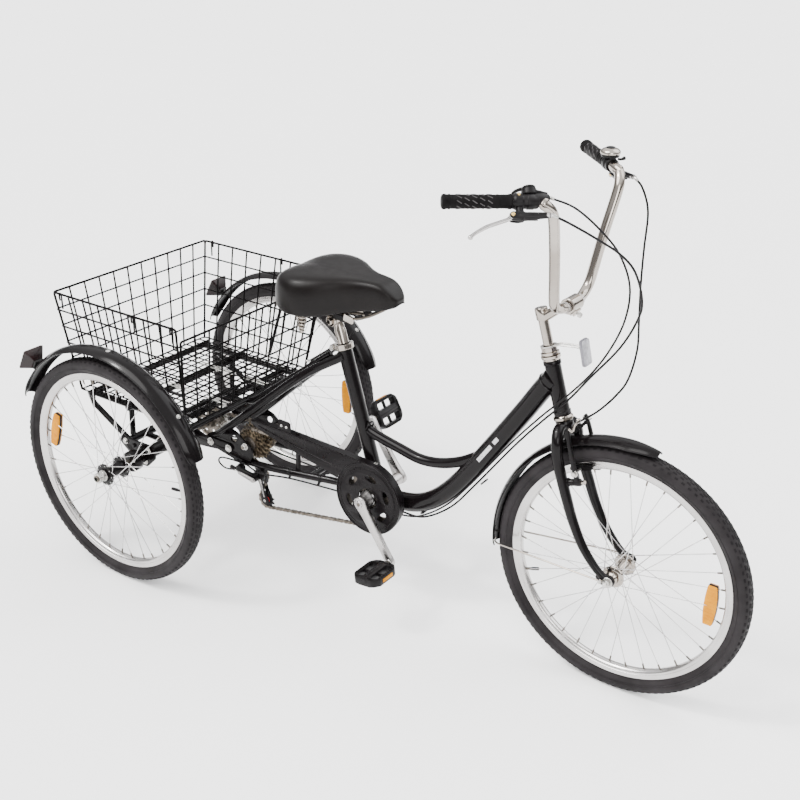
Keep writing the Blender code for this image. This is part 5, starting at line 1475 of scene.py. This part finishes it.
def make_headset():
    """The bright headset cups, with races, lock nut and washer."""
    low, high = Shape(), Shape()
    low.lathe(
        [(-0.6, 13.3), (-0.6, 18.3), (-2, 19.4), (-4, 21.6), (-8.6, 22), (-10, 21), (-10, 13.3)], HEAD_LOW,
        STEER, 44)
    top = HEAD_LOW + STEER * HEAD_LENGTH
    high.lathe(
        [(0.8, 13.3), (0.8, 18.3), (3, 19.2), (6, 21.2), (11, 21.4), (12, 19.4), (12.6, 16.4), (14, 16.4),
        (14.6, 20.2), (18.6, 20.2), (19.4, 17.6), (20.2, 15.8)], top, STEER, 44)
    piece("headset_lower_cup", low, CHROME, replaced=["headset_lower"], sharp=30)
    piece("headset_upper_cup", high, CHROME, replaced=["headset_upper"], sharp=30)
    nut = Shape().lathe([(20.4, 13.3), (20.4, 17.6), (29, 17.6), (30, 16.4), (30, 13.3)], top, STEER, 8)
    piece("headset_lock_nut", nut, CHROME, "steering", sharp=25)


def make_bar():
    """The plated high-rise handlebar with its knurled middle."""
    straight = GRIP_INNER - (GRIP_END - GRIP_INNER).normalized() * 43
    right = [
        v(1056, 0, 878), v(1056, -26, 878), v(1053, -50, 882), v(1053, -70, 894), v(1055, -80, 912),
        v(1059, -92, 955), v(1064, -108, 1010), v(1071, -133, 1080), v(1070, -144, 1106),
        v(1060, -158, 1122), straight, GRIP_END]
    left = [v(p.x, -p.y, p.z) for p in right]
    shape = Shape().tube(smooth(right[::-1] + left[1:], 6), BAR_RADIUS, 28)
    piece("handlebar_tube", shape, CHROME, "steering", ["handlebar"])
    knurl = Shape()
    for k in range(26):
        a = 2 * math.pi * k / 26
        for side in (-1, 1):
            start = v(1056 + 11.2 * math.cos(a), side * 22, 878 + 11.2 * math.sin(a))
            knurl.tube([start, start + v(0, side * 13, 0.6)], 0.7, 5)
    piece("handlebar_knurl", knurl, ALLOY, "steering", weld=False)


def make_grips():
    """Moulded grips with flanged ends, fine ribs and slanted treads coloured lighter as a painted
    highlight.
    """
    for name, side in SIDES:
        inner, out, _ = hand(side)
        length = (GRIP_END - GRIP_INNER).length
        profile = [
            (length + 6, 0), (length + 6, 11), (length + 5, 13), (length + 2.5, 14.4), (length - 1, 14.4),
            (length - 3, 13.4), (length - 6, 13.3), (length - 7, 14.2), (length - 9.5, 14.2),
            (length - 11, 13.0)]
        for k in range(9):
            h = length - 14 - k * 0.9
            profile += [(h, 13.0 if k % 2 else 13.4)]
        profile += [(30, 13.0), (28, 13.7), (25.5, 13.7), (24, 13.0)]
        profile += [(21 - 2 * k, 13.5 if k % 2 else 12.9) for k in range(6)]
        profile += [(8, 13.1), (6, 14.1), (3, 14.4), (0.6, 14.2), (0, 13.4), (0, 11.3)]
        grip = Shape().lathe(profile, inner, out, 44)
        piece(f"grip_{name}_sleeve", grip, RUBBER, "steering", [f"grip_{name}"])
        first, second = basis(out)
        treads = Shape()
        for row in range(8):
            for k in range(5):
                a = 2 * math.pi * (row + 0.5 * (k % 2)) / 8
                run = 38 + 14.5 * k
                points = []
                for t in (0, 0.5, 1):
                    b = a + 0.42 * t
                    rim = first * math.cos(b) + second * math.sin(b)
                    points.append(inner + out * (run + 9 * t) + rim * 13.2)
                treads.tube(points, 0.9, 6)
        # The treads take the lighter colour, a painted highlight.
        piece(f"grip_{name}_treads", treads, TREAD_HIGHLIGHT, "steering", weld=False)


def make_brake_levers():
    """Each lever's bracket, clamp, screws and barrel, and the bright blade that pivots in it."""
    for name, side in SIDES:
        _, out, drop = hand(side)
        up = out.cross(drop) * (1 if side < 0 else -1)
        turn = axes_matrix(out, drop)
        body = Shape()
        body.lathe(
            [(11.4, 11.4), (11.4, 13.4), (7, 14.4), (6, 15.5), (-6, 15.5), (-7, 14.4), (-10.8, 13.6),
            (-10.8, 11.4)], reach(side, -12, 0), out, 36)
        body.tube([reach(side, -13, 12), reach(side, -14, 22), reach(side, -15, 32)], 7.6, 16)
        spine = [
            reach(side, *spot) for spot in ((2, 30), (-8, 32, 3), (-24, 33, 7), (-40, 33.5, 10.5),
            (-66, 34.6, 16.2))]
        body.tube(
            smooth(spine, 4), 8.8, 20, squash=(up, 0.86), radii=[0.8 + 0.25 * math.sin(math.pi * k / 16)
            - 0.012 * k for k in range(17)])
        for face in (-1, 1):
            cheek = [(-19, -6.5), (8, -7.5), (12, -2), (9, 6.5), (-6, 8.5), (-19, 6)]
            body.plate([rounded(cheek, 3.5)], 3.0, reach(side, -4, 31, face * 9), turn, 0.8)
        body.box(reach(side, -30, 38.5, 8), (30, 4, 9), turn, 0.85)
        piece(
            f"brake_bracket_{name}_body", body, PLASTIC, "steering", [f"brake_bracket_{name}"], bevel=0.5,
            sharp=40)
        screws, barrel = Shape(), Shape()
        for face in (-1, 1):
            screws.lathe(
                [(0, 3.8), (1.4, 3.4), (1.9, 2.4), (1.9, 0)], reach(side, 2, 30, face * 10.4), up * face,
                24)
        screws.rod(reach(side, -12, -9, 12.2), reach(side, -12, -9, 15.0), 2.8, 18)
        barrel.lathe(
            [(0, 4.2), (0, 5.4), (5, 5.4), (5.6, 3.8), (13, 3.8), (13.4, 3.0), (13.4, 0)],
            reach(side, -60, 34.3, 14.8), reach(side, -69, 35, 17) - reach(side, -55, 34, 14), 20)
        piece(f"brake_bracket_{name}_screw", screws, BRASS, "steering")
        piece(f"brake_bracket_{name}_barrel", barrel, ALLOY, "steering")
        blade = [
            reach(side, *spot) for spot in ((1, 29), (10, 36), (24, 41), (36, 45), (50, 50), (62, 56),
            (75, 63.5), (84, 71))]
        lever = Shape().tube(
            smooth(blade, 3), 5.6, 18, squash=(drop, 0.62), radii=[0.82, 0.9] + [1.0] * 12 + [0.98, 0.94,
            0.9, 0.86, 0.82, 0.8, 0.84, 0.92])
        lever.rod(reach(side, 2, 30, -6.8), reach(side, 2, 30, 6.8), 6.4, 24)
        lever.ball(reach(side, 84, 71), 5.0, 16, 0.8, up)
        piece(f"brake_lever_{name}_blade", lever, ALLOY, f"brake_lever_{name}", [f"brake_lever_{name}"])


def make_shifter():
    """The thumb shifter: a clamped body under a swept cover, its cap, screw and hooked lever."""
    _, out, drop = hand(RIGHT)
    up = -drop
    centre = reach(RIGHT, -35, 0)
    side = out.cross(up)
    body = Shape()
    body.lathe(
        [(16.5, 11.4), (16.5, 13.6), (7, 14.2), (6, 15.5), (-5, 15.5), (-7, 14.4), (-14, 13.8), (-15, 12.8),
        (-15, 11.4)], centre, out, 36)
    body.lathe([(12, 0), (12, 13.4), (13.4, 14.6), (23, 14.6), (24, 13.6), (24, 0)], centre, up, 40)

    def spots(*rows):
        """Points from the shifter's middle: up, out along the bar, and to its side."""
        return [centre + up * row[0] + out * row[1] + side * row[2] for row in rows]

    cover = spots((17.5, 5, 0), (18.5, 0, 0), (18, -9, 0), (17, -20, 0), (14, -31, 0))
    body.tube(smooth(cover, 4), 9.6, 20, squash=(up, 0.66), radii=[1.25 - 0.045 * k for k in range(17)])
    body.tube(spots((16, -26, 0), (14, -34, 0)), 4.3, 16)
    pod = spots((1, -8, 0), (3, -19, 0), (6, -29, 0), (9, -37, 0))
    body.tube(pod, 14.2, 20, radii=[1.0, 0.94, 0.76, 0.42])
    piece("shifter_body_cover", body, PLASTIC, "steering", ["shifter_body"], bevel=0.4)
    hook = Shape()
    hook.lathe([(24.5, 0), (24.5, 12.4), (25.4, 13.2), (28, 13.2), (29.2, 12), (29.4, 0)], centre, up, 40)
    paddle = spots((27.6, 0, 4), (29.5, 8, 8), (29, 17, 13), (27, 24, 21), (22, 25, 23))
    hook.tube(smooth(paddle, 4), 4.2, 16, squash=(up, 0.7), radii=[1.2 - 0.02 * k for k in range(17)])
    piece("shifter_lever_hook", hook, PLASTIC, "shifter_lever", ["shifter_lever"], bevel=0.4)
    screw = Shape().lathe([(29.4, 5.0), (30.6, 4.6), (31.0, 3.4), (31.0, 0)], centre, up, 24)
    piece("shifter_screw", screw, ZINC, "shifter_lever")


def make_bell():
    """The bell: a clamp, a dark base, a plated dome with a dark centre, and the striker."""
    _, out, _ = hand(LEFT)
    centre = reach(LEFT, -16, 0)
    base, dome = Shape(), Shape()
    base.lathe(
        [(4.5, 11.4), (4.5, 13.6), (3.6, 14.5), (-3.6, 14.5), (-4.5, 13.6), (-4.5, 11.4)],
        reach(LEFT, -29.5, 0), out, 36)
    base.box(reach(LEFT, -27.8, 0) + v(0, 0, 16.3), (14.5, 12, 5.5), axes_matrix(out, UP.cross(out)))
    base.lathe([(14, 0), (14, 17.5), (15, 19.2), (20.4, 19.6), (21.4, 18.6), (21.4, 0)], centre, UP, 40)
    dome.lathe(
        [(20.6, 20.2), (21.8, 21.4), (24.5, 21.6), (28, 20), (31, 16.4), (32.8, 11.6), (33.4, 7.4),
        (33.4, 0)], centre, UP, 56)
    base.lathe([(32.4, 10.2), (34.6, 9.2), (35.4, 6.8), (35.4, 0)], centre, UP, 32)
    piece("bell_base", base, PLASTIC, "steering", bevel=0.3)
    piece("bell_dome", dome, CHROME, "steering", ["bell_body"])
    root = centre + v(19, 0, 12)
    striker = Shape().tube(
        smooth([root, root + v(6, -2, 0.6), root + v(11, -4.6, 2.6), root + v(17, -8, 6)], 4), 2.6, 14,
        radii=[1.0] * 8 + [1.1, 1.2, 1.35, 1.5, 1.5])
    piece("bell_striker", striker, PLASTIC, "bell_lever", ["bell_lever"])


def make_front_reflector():
    """The clear front reflector in its pale case, on a wire bracket from the headset."""
    lens, case, strap = Shape(), Shape(), Shape()
    turn = pitch(-14) @ axes_matrix(ACROSS, UP)
    middle = v(1096, 0, 781)
    ahead = turn @ UP
    edge = [(-16, -29), (16, -29), (16, 29), (-16, 29)]
    case.plate([rounded(edge, 8)], 6.0, middle - ahead * 1.6, turn, 1.2)
    lens.plate([rounded([(x * 0.94, z * 0.95) for x, z in edge], 7)], 3.4, middle + ahead * 2.6, turn, 1.0)
    for row in range(-4, 5):
        lens.box(middle + ahead * 4.2 + turn @ v(0, row * 6.0, 0), (25, 1.0, 0.8), turn)
    for side in (-1, 1):
        wire = [
            along(154, 15.4, side * 7), along(155, 28, side * 7), v(1080, side * 6, 790),
            v(1092.5, side * 6, 787)]
        strap.tube(bend_round(wire, 8), 2.0, 10)
    strap.lathe([(1.4, 13.6), (1.4, 18.4), (-1.4, 18.4), (-1.4, 13.6)], along(153.6), STEER, 32)
    strap.box(v(1091.6, 0, 786), (1.6, 20, 14), pitch(-14))
    piece("front_reflector_lens", lens, CLEAR, "steering", ["front_reflector"])
    piece("front_reflector_case", case, CASE, "steering")
    piece("front_reflector_bracket", strap, ZINC, "steering")


# Fork, front brake and cables


BLADE_Y = 54.0


def make_fork():
    """The fork: steerer, crown, raked blades, ends, weld beads and brake posts."""
    shape, beads, bright = Shape(), Shape(), Shape()
    shape.lathe([(-38, 0), (-38, 17), (-36, 19), (-14, 19), (-11.5, 17), (-11.5, 12)], HEAD_LOW, STEER, 40)
    bright.lathe([(-11.2, 13), (-11.2, 20.6), (-10.2, 21.4), (-10.2, 13)], HEAD_LOW, STEER, 36)
    bright.rod(along(-24), along(147.6), 12.6, 32)
    for side in (-1, 1):
        blade = [
            along(-22, 0, side * 8), along(-27, 0, side * 30), along(-48, 0, side * 45),
            v(1075, side * 48, 546), v(1090, side * 50, 502), v(1107, side * 52, 458),
            v(1125, side * 53, 414), v(1153, side * 54, 362), v(1186, side * 54, 322),
            v(1210, side * 54, 303)]
        path = smooth(blade, 5)
        widths = [1.0, 1.0, 1.0, 1.0, 0.98, 0.94, 0.88, 0.8, 0.72, 0.66]
        scales = []
        for k in range(len(path)):
            t = k / 5
            i = min(int(t), 8)
            scales.append(widths[i] + (widths[i + 1] - widths[i]) * (t - i))
        shape.tube(path, 12.5, 26, radii=scales)
        end = rounded(
            [(1196, 314), (1190, 300), (1200, 288), (1212, 284), (1232, 290), (1236, 302), (1228, 311),
            (1214, 313)], 4)
        shape.side_plate([end], 6.0, side * BLADE_Y)
        post = brake_boss(side) - AHEAD * 33
        shape.rod(post, post + AHEAD * 27, 7.8, 22)
        bright.rod(post + AHEAD * 20, post + AHEAD * 46, 3.9, 16)
        bright.lathe([(51, 0), (51, 4.6), (49.6, 5.8), (46.2, 5.8)], post, AHEAD, 6)
        beads.hoop(post + AHEAD * 11, ACROSS, STEER, 8.6, 1.6)
    shape.rod(v(WHEELBASE, -60, TYRE_RADIUS), v(WHEELBASE, 60, TYRE_RADIUS), 4.9, 20)
    piece("fork_blades", shape, PAINT, "steering", ["fork"], sharp=45)
    piece("fork_weld_beads", beads, PAINT, "steering", weld=False)
    piece("fork_bright_parts", bright, CHROME, "steering")


def brake_boss(side):
    """The middle of a rim brake arm's bearing, on its post ahead of the fork blade."""
    return v(1093, side * 45, 495) + AHEAD * 33


def make_front_brake():
    """The rim brake: curved arms, pads with their nuts, the bright noodle and its boot."""
    for name, side in SIDES:
        foot = brake_boss(side)
        arm, pad, metal = Shape(), Shape(), Shape()
        bow = ((-5, 0), (14, 1.5), (30, 3), (60, 3.4), (92, 2), (112, -1.5), (121, -4))
        path = [foot + STEER * run + v(0, side * y, 0) for run, y in bow]
        arm.tube(smooth(path, 4), 6.0, 18, squash=(AHEAD, 0.78), radii=[1.2 - 0.015 * k for k in range(25)])
        arm.lathe([(-5.5, 4.4), (-5.5, 7.4), (-4.5, 8.2), (7, 8.2), (8, 7.2), (8, 4.4)], foot, AHEAD, 28)
        piece(f"brake_arm_{name}_body", arm, PLASTIC, f"brake_arm_{name}", [f"brake_arm_{name}"])
        centre = foot + STEER * 22
        turn = axes_matrix(AHEAD, ACROSS)
        shoe = [
            (-26, -3.6), (-22, -4.6), (22, -4.6), (26, -3.2), (26, 3.2), (22, 4.6), (-22, 4.6), (-26, 3.6)]
        flat = axes_matrix(AHEAD, STEER)
        pad.plate([rounded(shoe, 2)], 8.8, centre + v(0, -side * 26.7, 0), flat, 0.8)
        for k in (-1, 0, 1):
            pad.box(centre + v(0, -side * 26.7, 0) + AHEAD * 13 * k, (1.6, 9.4, 9.8), turn)
        piece(f"brake_pad_{name}", pad, RUBBER, f"brake_arm_{name}")
        metal.rod(centre + v(0, -side * 23, 0), centre + v(0, side * 10, 0), 3.0, 16)
        metal.rod(centre + v(0, side * 8, 0), centre + v(0, side * 13, 0), 6.0, 6)
        metal.rod(centre + v(0, side * 6.4, 0), centre + v(0, side * 8, 0), 8.0, 22)
        tip = foot + STEER * 119 - v(0, side * 3.5, 0)
        if side == LEFT:
            metal.rod(tip - AHEAD * 7 - STEER * 4, tip + AHEAD * 8 - STEER * 4, 4.6, 6)
        piece(f"brake_arm_{name}_fittings", metal, ZINC, f"brake_arm_{name}")
    noodle, boot = Shape(), Shape()
    top = brake_boss(RIGHT) + STEER * 119
    pipe = [v(1091, 8, 619), v(1094, -12, 622), v(1097, -28, 621), v(1100, -40, 615), top + v(3, 0, 3)]
    noodle.tube(smooth(pipe, 5), 2.7, 14)
    noodle.lathe([(0, 3.6), (7, 3.6), (8, 2.6)], v(1088, 14, 619), (0, -1, 0), 18)
    piece("brake_noodle", noodle, CHROME, "steering")
    for k in range(7):
        boot.ball(v(1100 + 0.3 * k, -26 + 8.6 * k, 611 + 0.9 * k), 4.6 if k % 2 else 3.9, 14, 1.1, ACROSS)
    boot.tube([v(1100, -38, 610), v(1104, 40, 617)], 1.0, 8)
    piece("brake_boot", boot, RUBBER, "steering", weld=False)


SHIFT_ROUTE = [
    (1062, -142, 1132), (1110, -130, 1118), (1153, -105, 1078), (1187, -82, 1030), (1205, -62, 965),
    (1196, -48, 891), (1166, -38, 817), (1125, -32, 749), (1070, -30, 680), (1018, -28, 622),
    (940, -14, 527), (838, -10, 388), (775, -10, 312), (700, -10, 256), (640, -14, 242), (590, -30, 243),
    (500, -38, 261), (420, -48, 263), (330, -60, 261), (250, -76, 256), (205, -79, 268), (180, -80, 269),
    (125, -84, 266), (116, -86, 252), (138, -86, 240), (172, -82, 244)]
BRAKE_ROUTE = [
    (1090, -174, 1110), (1118, -143, 1088), (1160, -115, 1060), (1193, -95, 1036), (1218, -75, 1001),
    (1231, -58, 943), (1221, -45, 896), (1185, -34, 824), (1122, -24, 739), (1075, -23, 674),
    (1020, -21, 611), (946, -4, 521), (845, 0, 384), (782, 0, 305), (706, 2, 250), (640, 6, 240),
    (590, 16, 240), (500, 24, 252), (380, 24, 262), (220, 28, 262), (100, 34, 262), (40, 40, 252)]
FRONT_BRAKE_ROUTE = [
    (1090, 174, 1110), (1112, 168, 1092), (1132, 160, 1048), (1141, 138, 975), (1152, 115, 907),
    (1166, 92, 840), (1176, 75, 781), (1168, 62, 716), (1146, 54, 674), (1116, 44, 636), (1096, 22, 620),
    (1090, 0, 618)]


def make_cables():
    """The three cables in their casings, with end caps. The front brake cable rides on the steering."""
    routes = (
        ("shift_cable", SHIFT_ROUTE, 2.2), ("rear_brake_cable", BRAKE_ROUTE, 2.4),
        ("front_brake_cable", FRONT_BRAKE_ROUTE, 2.4))
    for name, route, radius in routes:
        path = smooth(route, 6)
        casing, caps = Shape().tube(path, radius, 12), Shape()
        for a, b in ((path[0], path[2]), (path[-1], path[-3])):
            way = (b - a).normalized()
            caps.lathe(
                [(-1, 0), (-1, radius + 0.5), (0, radius + 0.9), (9, radius + 0.9), (10, radius + 0.2)], a,
                way, 18)
        cable = piece(f"{name}_casing", casing, CASING, None, [name])
        ends = piece(f"{name}_caps", caps, ZINC, None)
        for obj in (cable, ends):
            if name == "front_brake_cable":
                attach(obj, "steering")
            else:
                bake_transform(obj)


# Stage


FLOOR_HALF = 90
SKY_STRENGTH = 2.3
LIT_POINT = v(0, 0, 0.5)
# Name, kind, place in metres, power, angle or size, colour
LIGHTS = (
    ("key", "SUN", (-1.4, -2.6, 4.2), 4.2, 0.8, (1.0, 0.99, 0.975)), ("back", "SUN", (1.8, 2.6, 3.4), 2.2,
    1.0, (0.97, 0.98, 1.0)), ("glint", "SUN", (-2.2, -2.2, 4.6), 1.5, 0.12, (1.0, 0.99, 0.98)),
    ("front", "AREA", (2.8, -2.6, 2.2), 60, 1.6, (1.0, 0.99, 0.98)))


def make_stage():
    """A pale floor and soft studio lights."""
    mesh = bpy.data.meshes.new("floor")
    corners = [(x * FLOOR_HALF, y * FLOOR_HALF, 0) for x, y in ((-1, -1), (1, -1), (1, 1), (-1, 1))]
    mesh.from_pydata(corners, [], [(0, 1, 2, 3)])
    floor = add_object("floor", mesh)
    pale = look(
        "pale_floor", (0.95, 0.95, 0.95), 0.8, tint=(0.96, 0.96, 0.96), cloud=1.5, grain=60,
        bump=0.01)
    mesh.materials.append(pale)

    world = bpy.data.worlds.new("studio")
    world.use_nodes = True
    tree = world.node_tree
    parts = node(tree, "SeparateXYZ", node(tree, "TexCoord").outputs["Generated"])
    dome = node(tree, "ValToRGB")
    ramp = dome.color_ramp
    ramp.elements[0].position, ramp.elements[0].color = 0.0, (0.16, 0.16, 0.165, 1.0)
    ramp.elements[1].position, ramp.elements[1].color = 1.0, (1.0, 1.0, 1.0, 1.0)
    for position, level in ((0.22, 0.20), (0.45, 0.55), (0.62, 0.95)):
        ramp.elements.new(position).color = (level, level, level * 1.01, 1.0)
    tree.links.new(parts.outputs["Z"], dome.inputs["Fac"])
    sky = tree.nodes["Background"]
    tree.links.new(dome.outputs["Color"], sky.inputs["Color"])
    sky.inputs["Strength"].default_value = SKY_STRENGTH
    bpy.context.scene.world = world

    for name, kind, spot, power, size, colour in LIGHTS:
        data = bpy.data.lights.new(name, kind)
        data.energy, data.color = power, colour
        setattr(data, "angle" if kind == "SUN" else "size", size)
        lamp = add_object(name, data)
        lamp.location = spot
        lamp.rotation_euler = (LIT_POINT - Vector(spot)).to_track_quat("-Z", "Y").to_euler()


AZIMUTH, ELEVATION, ROLL = math.radians(34.87943), math.radians(25.02271), math.radians(0.8888)
CAMERA_AT = v(2076.6, -2073.5, 1721.9)
LENS, SENSOR_WIDTH = 53.4526, 36.0


def make_camera():
    """The camera, ahead of the tricycle and to its right."""
    back = v(
        math.sin(AZIMUTH) * math.cos(ELEVATION), -math.cos(AZIMUTH) * math.cos(ELEVATION),
        math.sin(ELEVATION))
    right = v(math.cos(AZIMUTH), math.sin(AZIMUTH), 0)
    up = back.cross(right)
    turned_right = right * math.cos(ROLL) + up * math.sin(ROLL)
    turned_up = up * math.cos(ROLL) - right * math.sin(ROLL)
    data = bpy.data.cameras.new("camera")
    data.lens = LENS
    data.sensor_width = SENSOR_WIDTH
    camera = add_object("camera", data)
    turn = Matrix((turned_right, turned_up, back)).transposed()
    camera.matrix_world = Matrix.Translation(place(CAMERA_AT)) @ turn.to_4x4()
    bpy.context.scene.camera = camera


for make in (
        make_stage, make_camera, make_wheels, make_main_frame, make_rear_carrier, make_basket_rack,
        make_basket, make_rear_fenders, make_front_fender, make_chains, make_crankset, make_pedals,
        make_freewheel, make_rear_axle, make_chain_guard, make_derailleur, make_saddle, make_saddle_rails,
        make_seat_post, make_stem, make_headset, make_bar, make_grips, make_brake_levers, make_shifter,
        make_bell, make_front_reflector, make_fork, make_front_brake, make_cables):
    make()
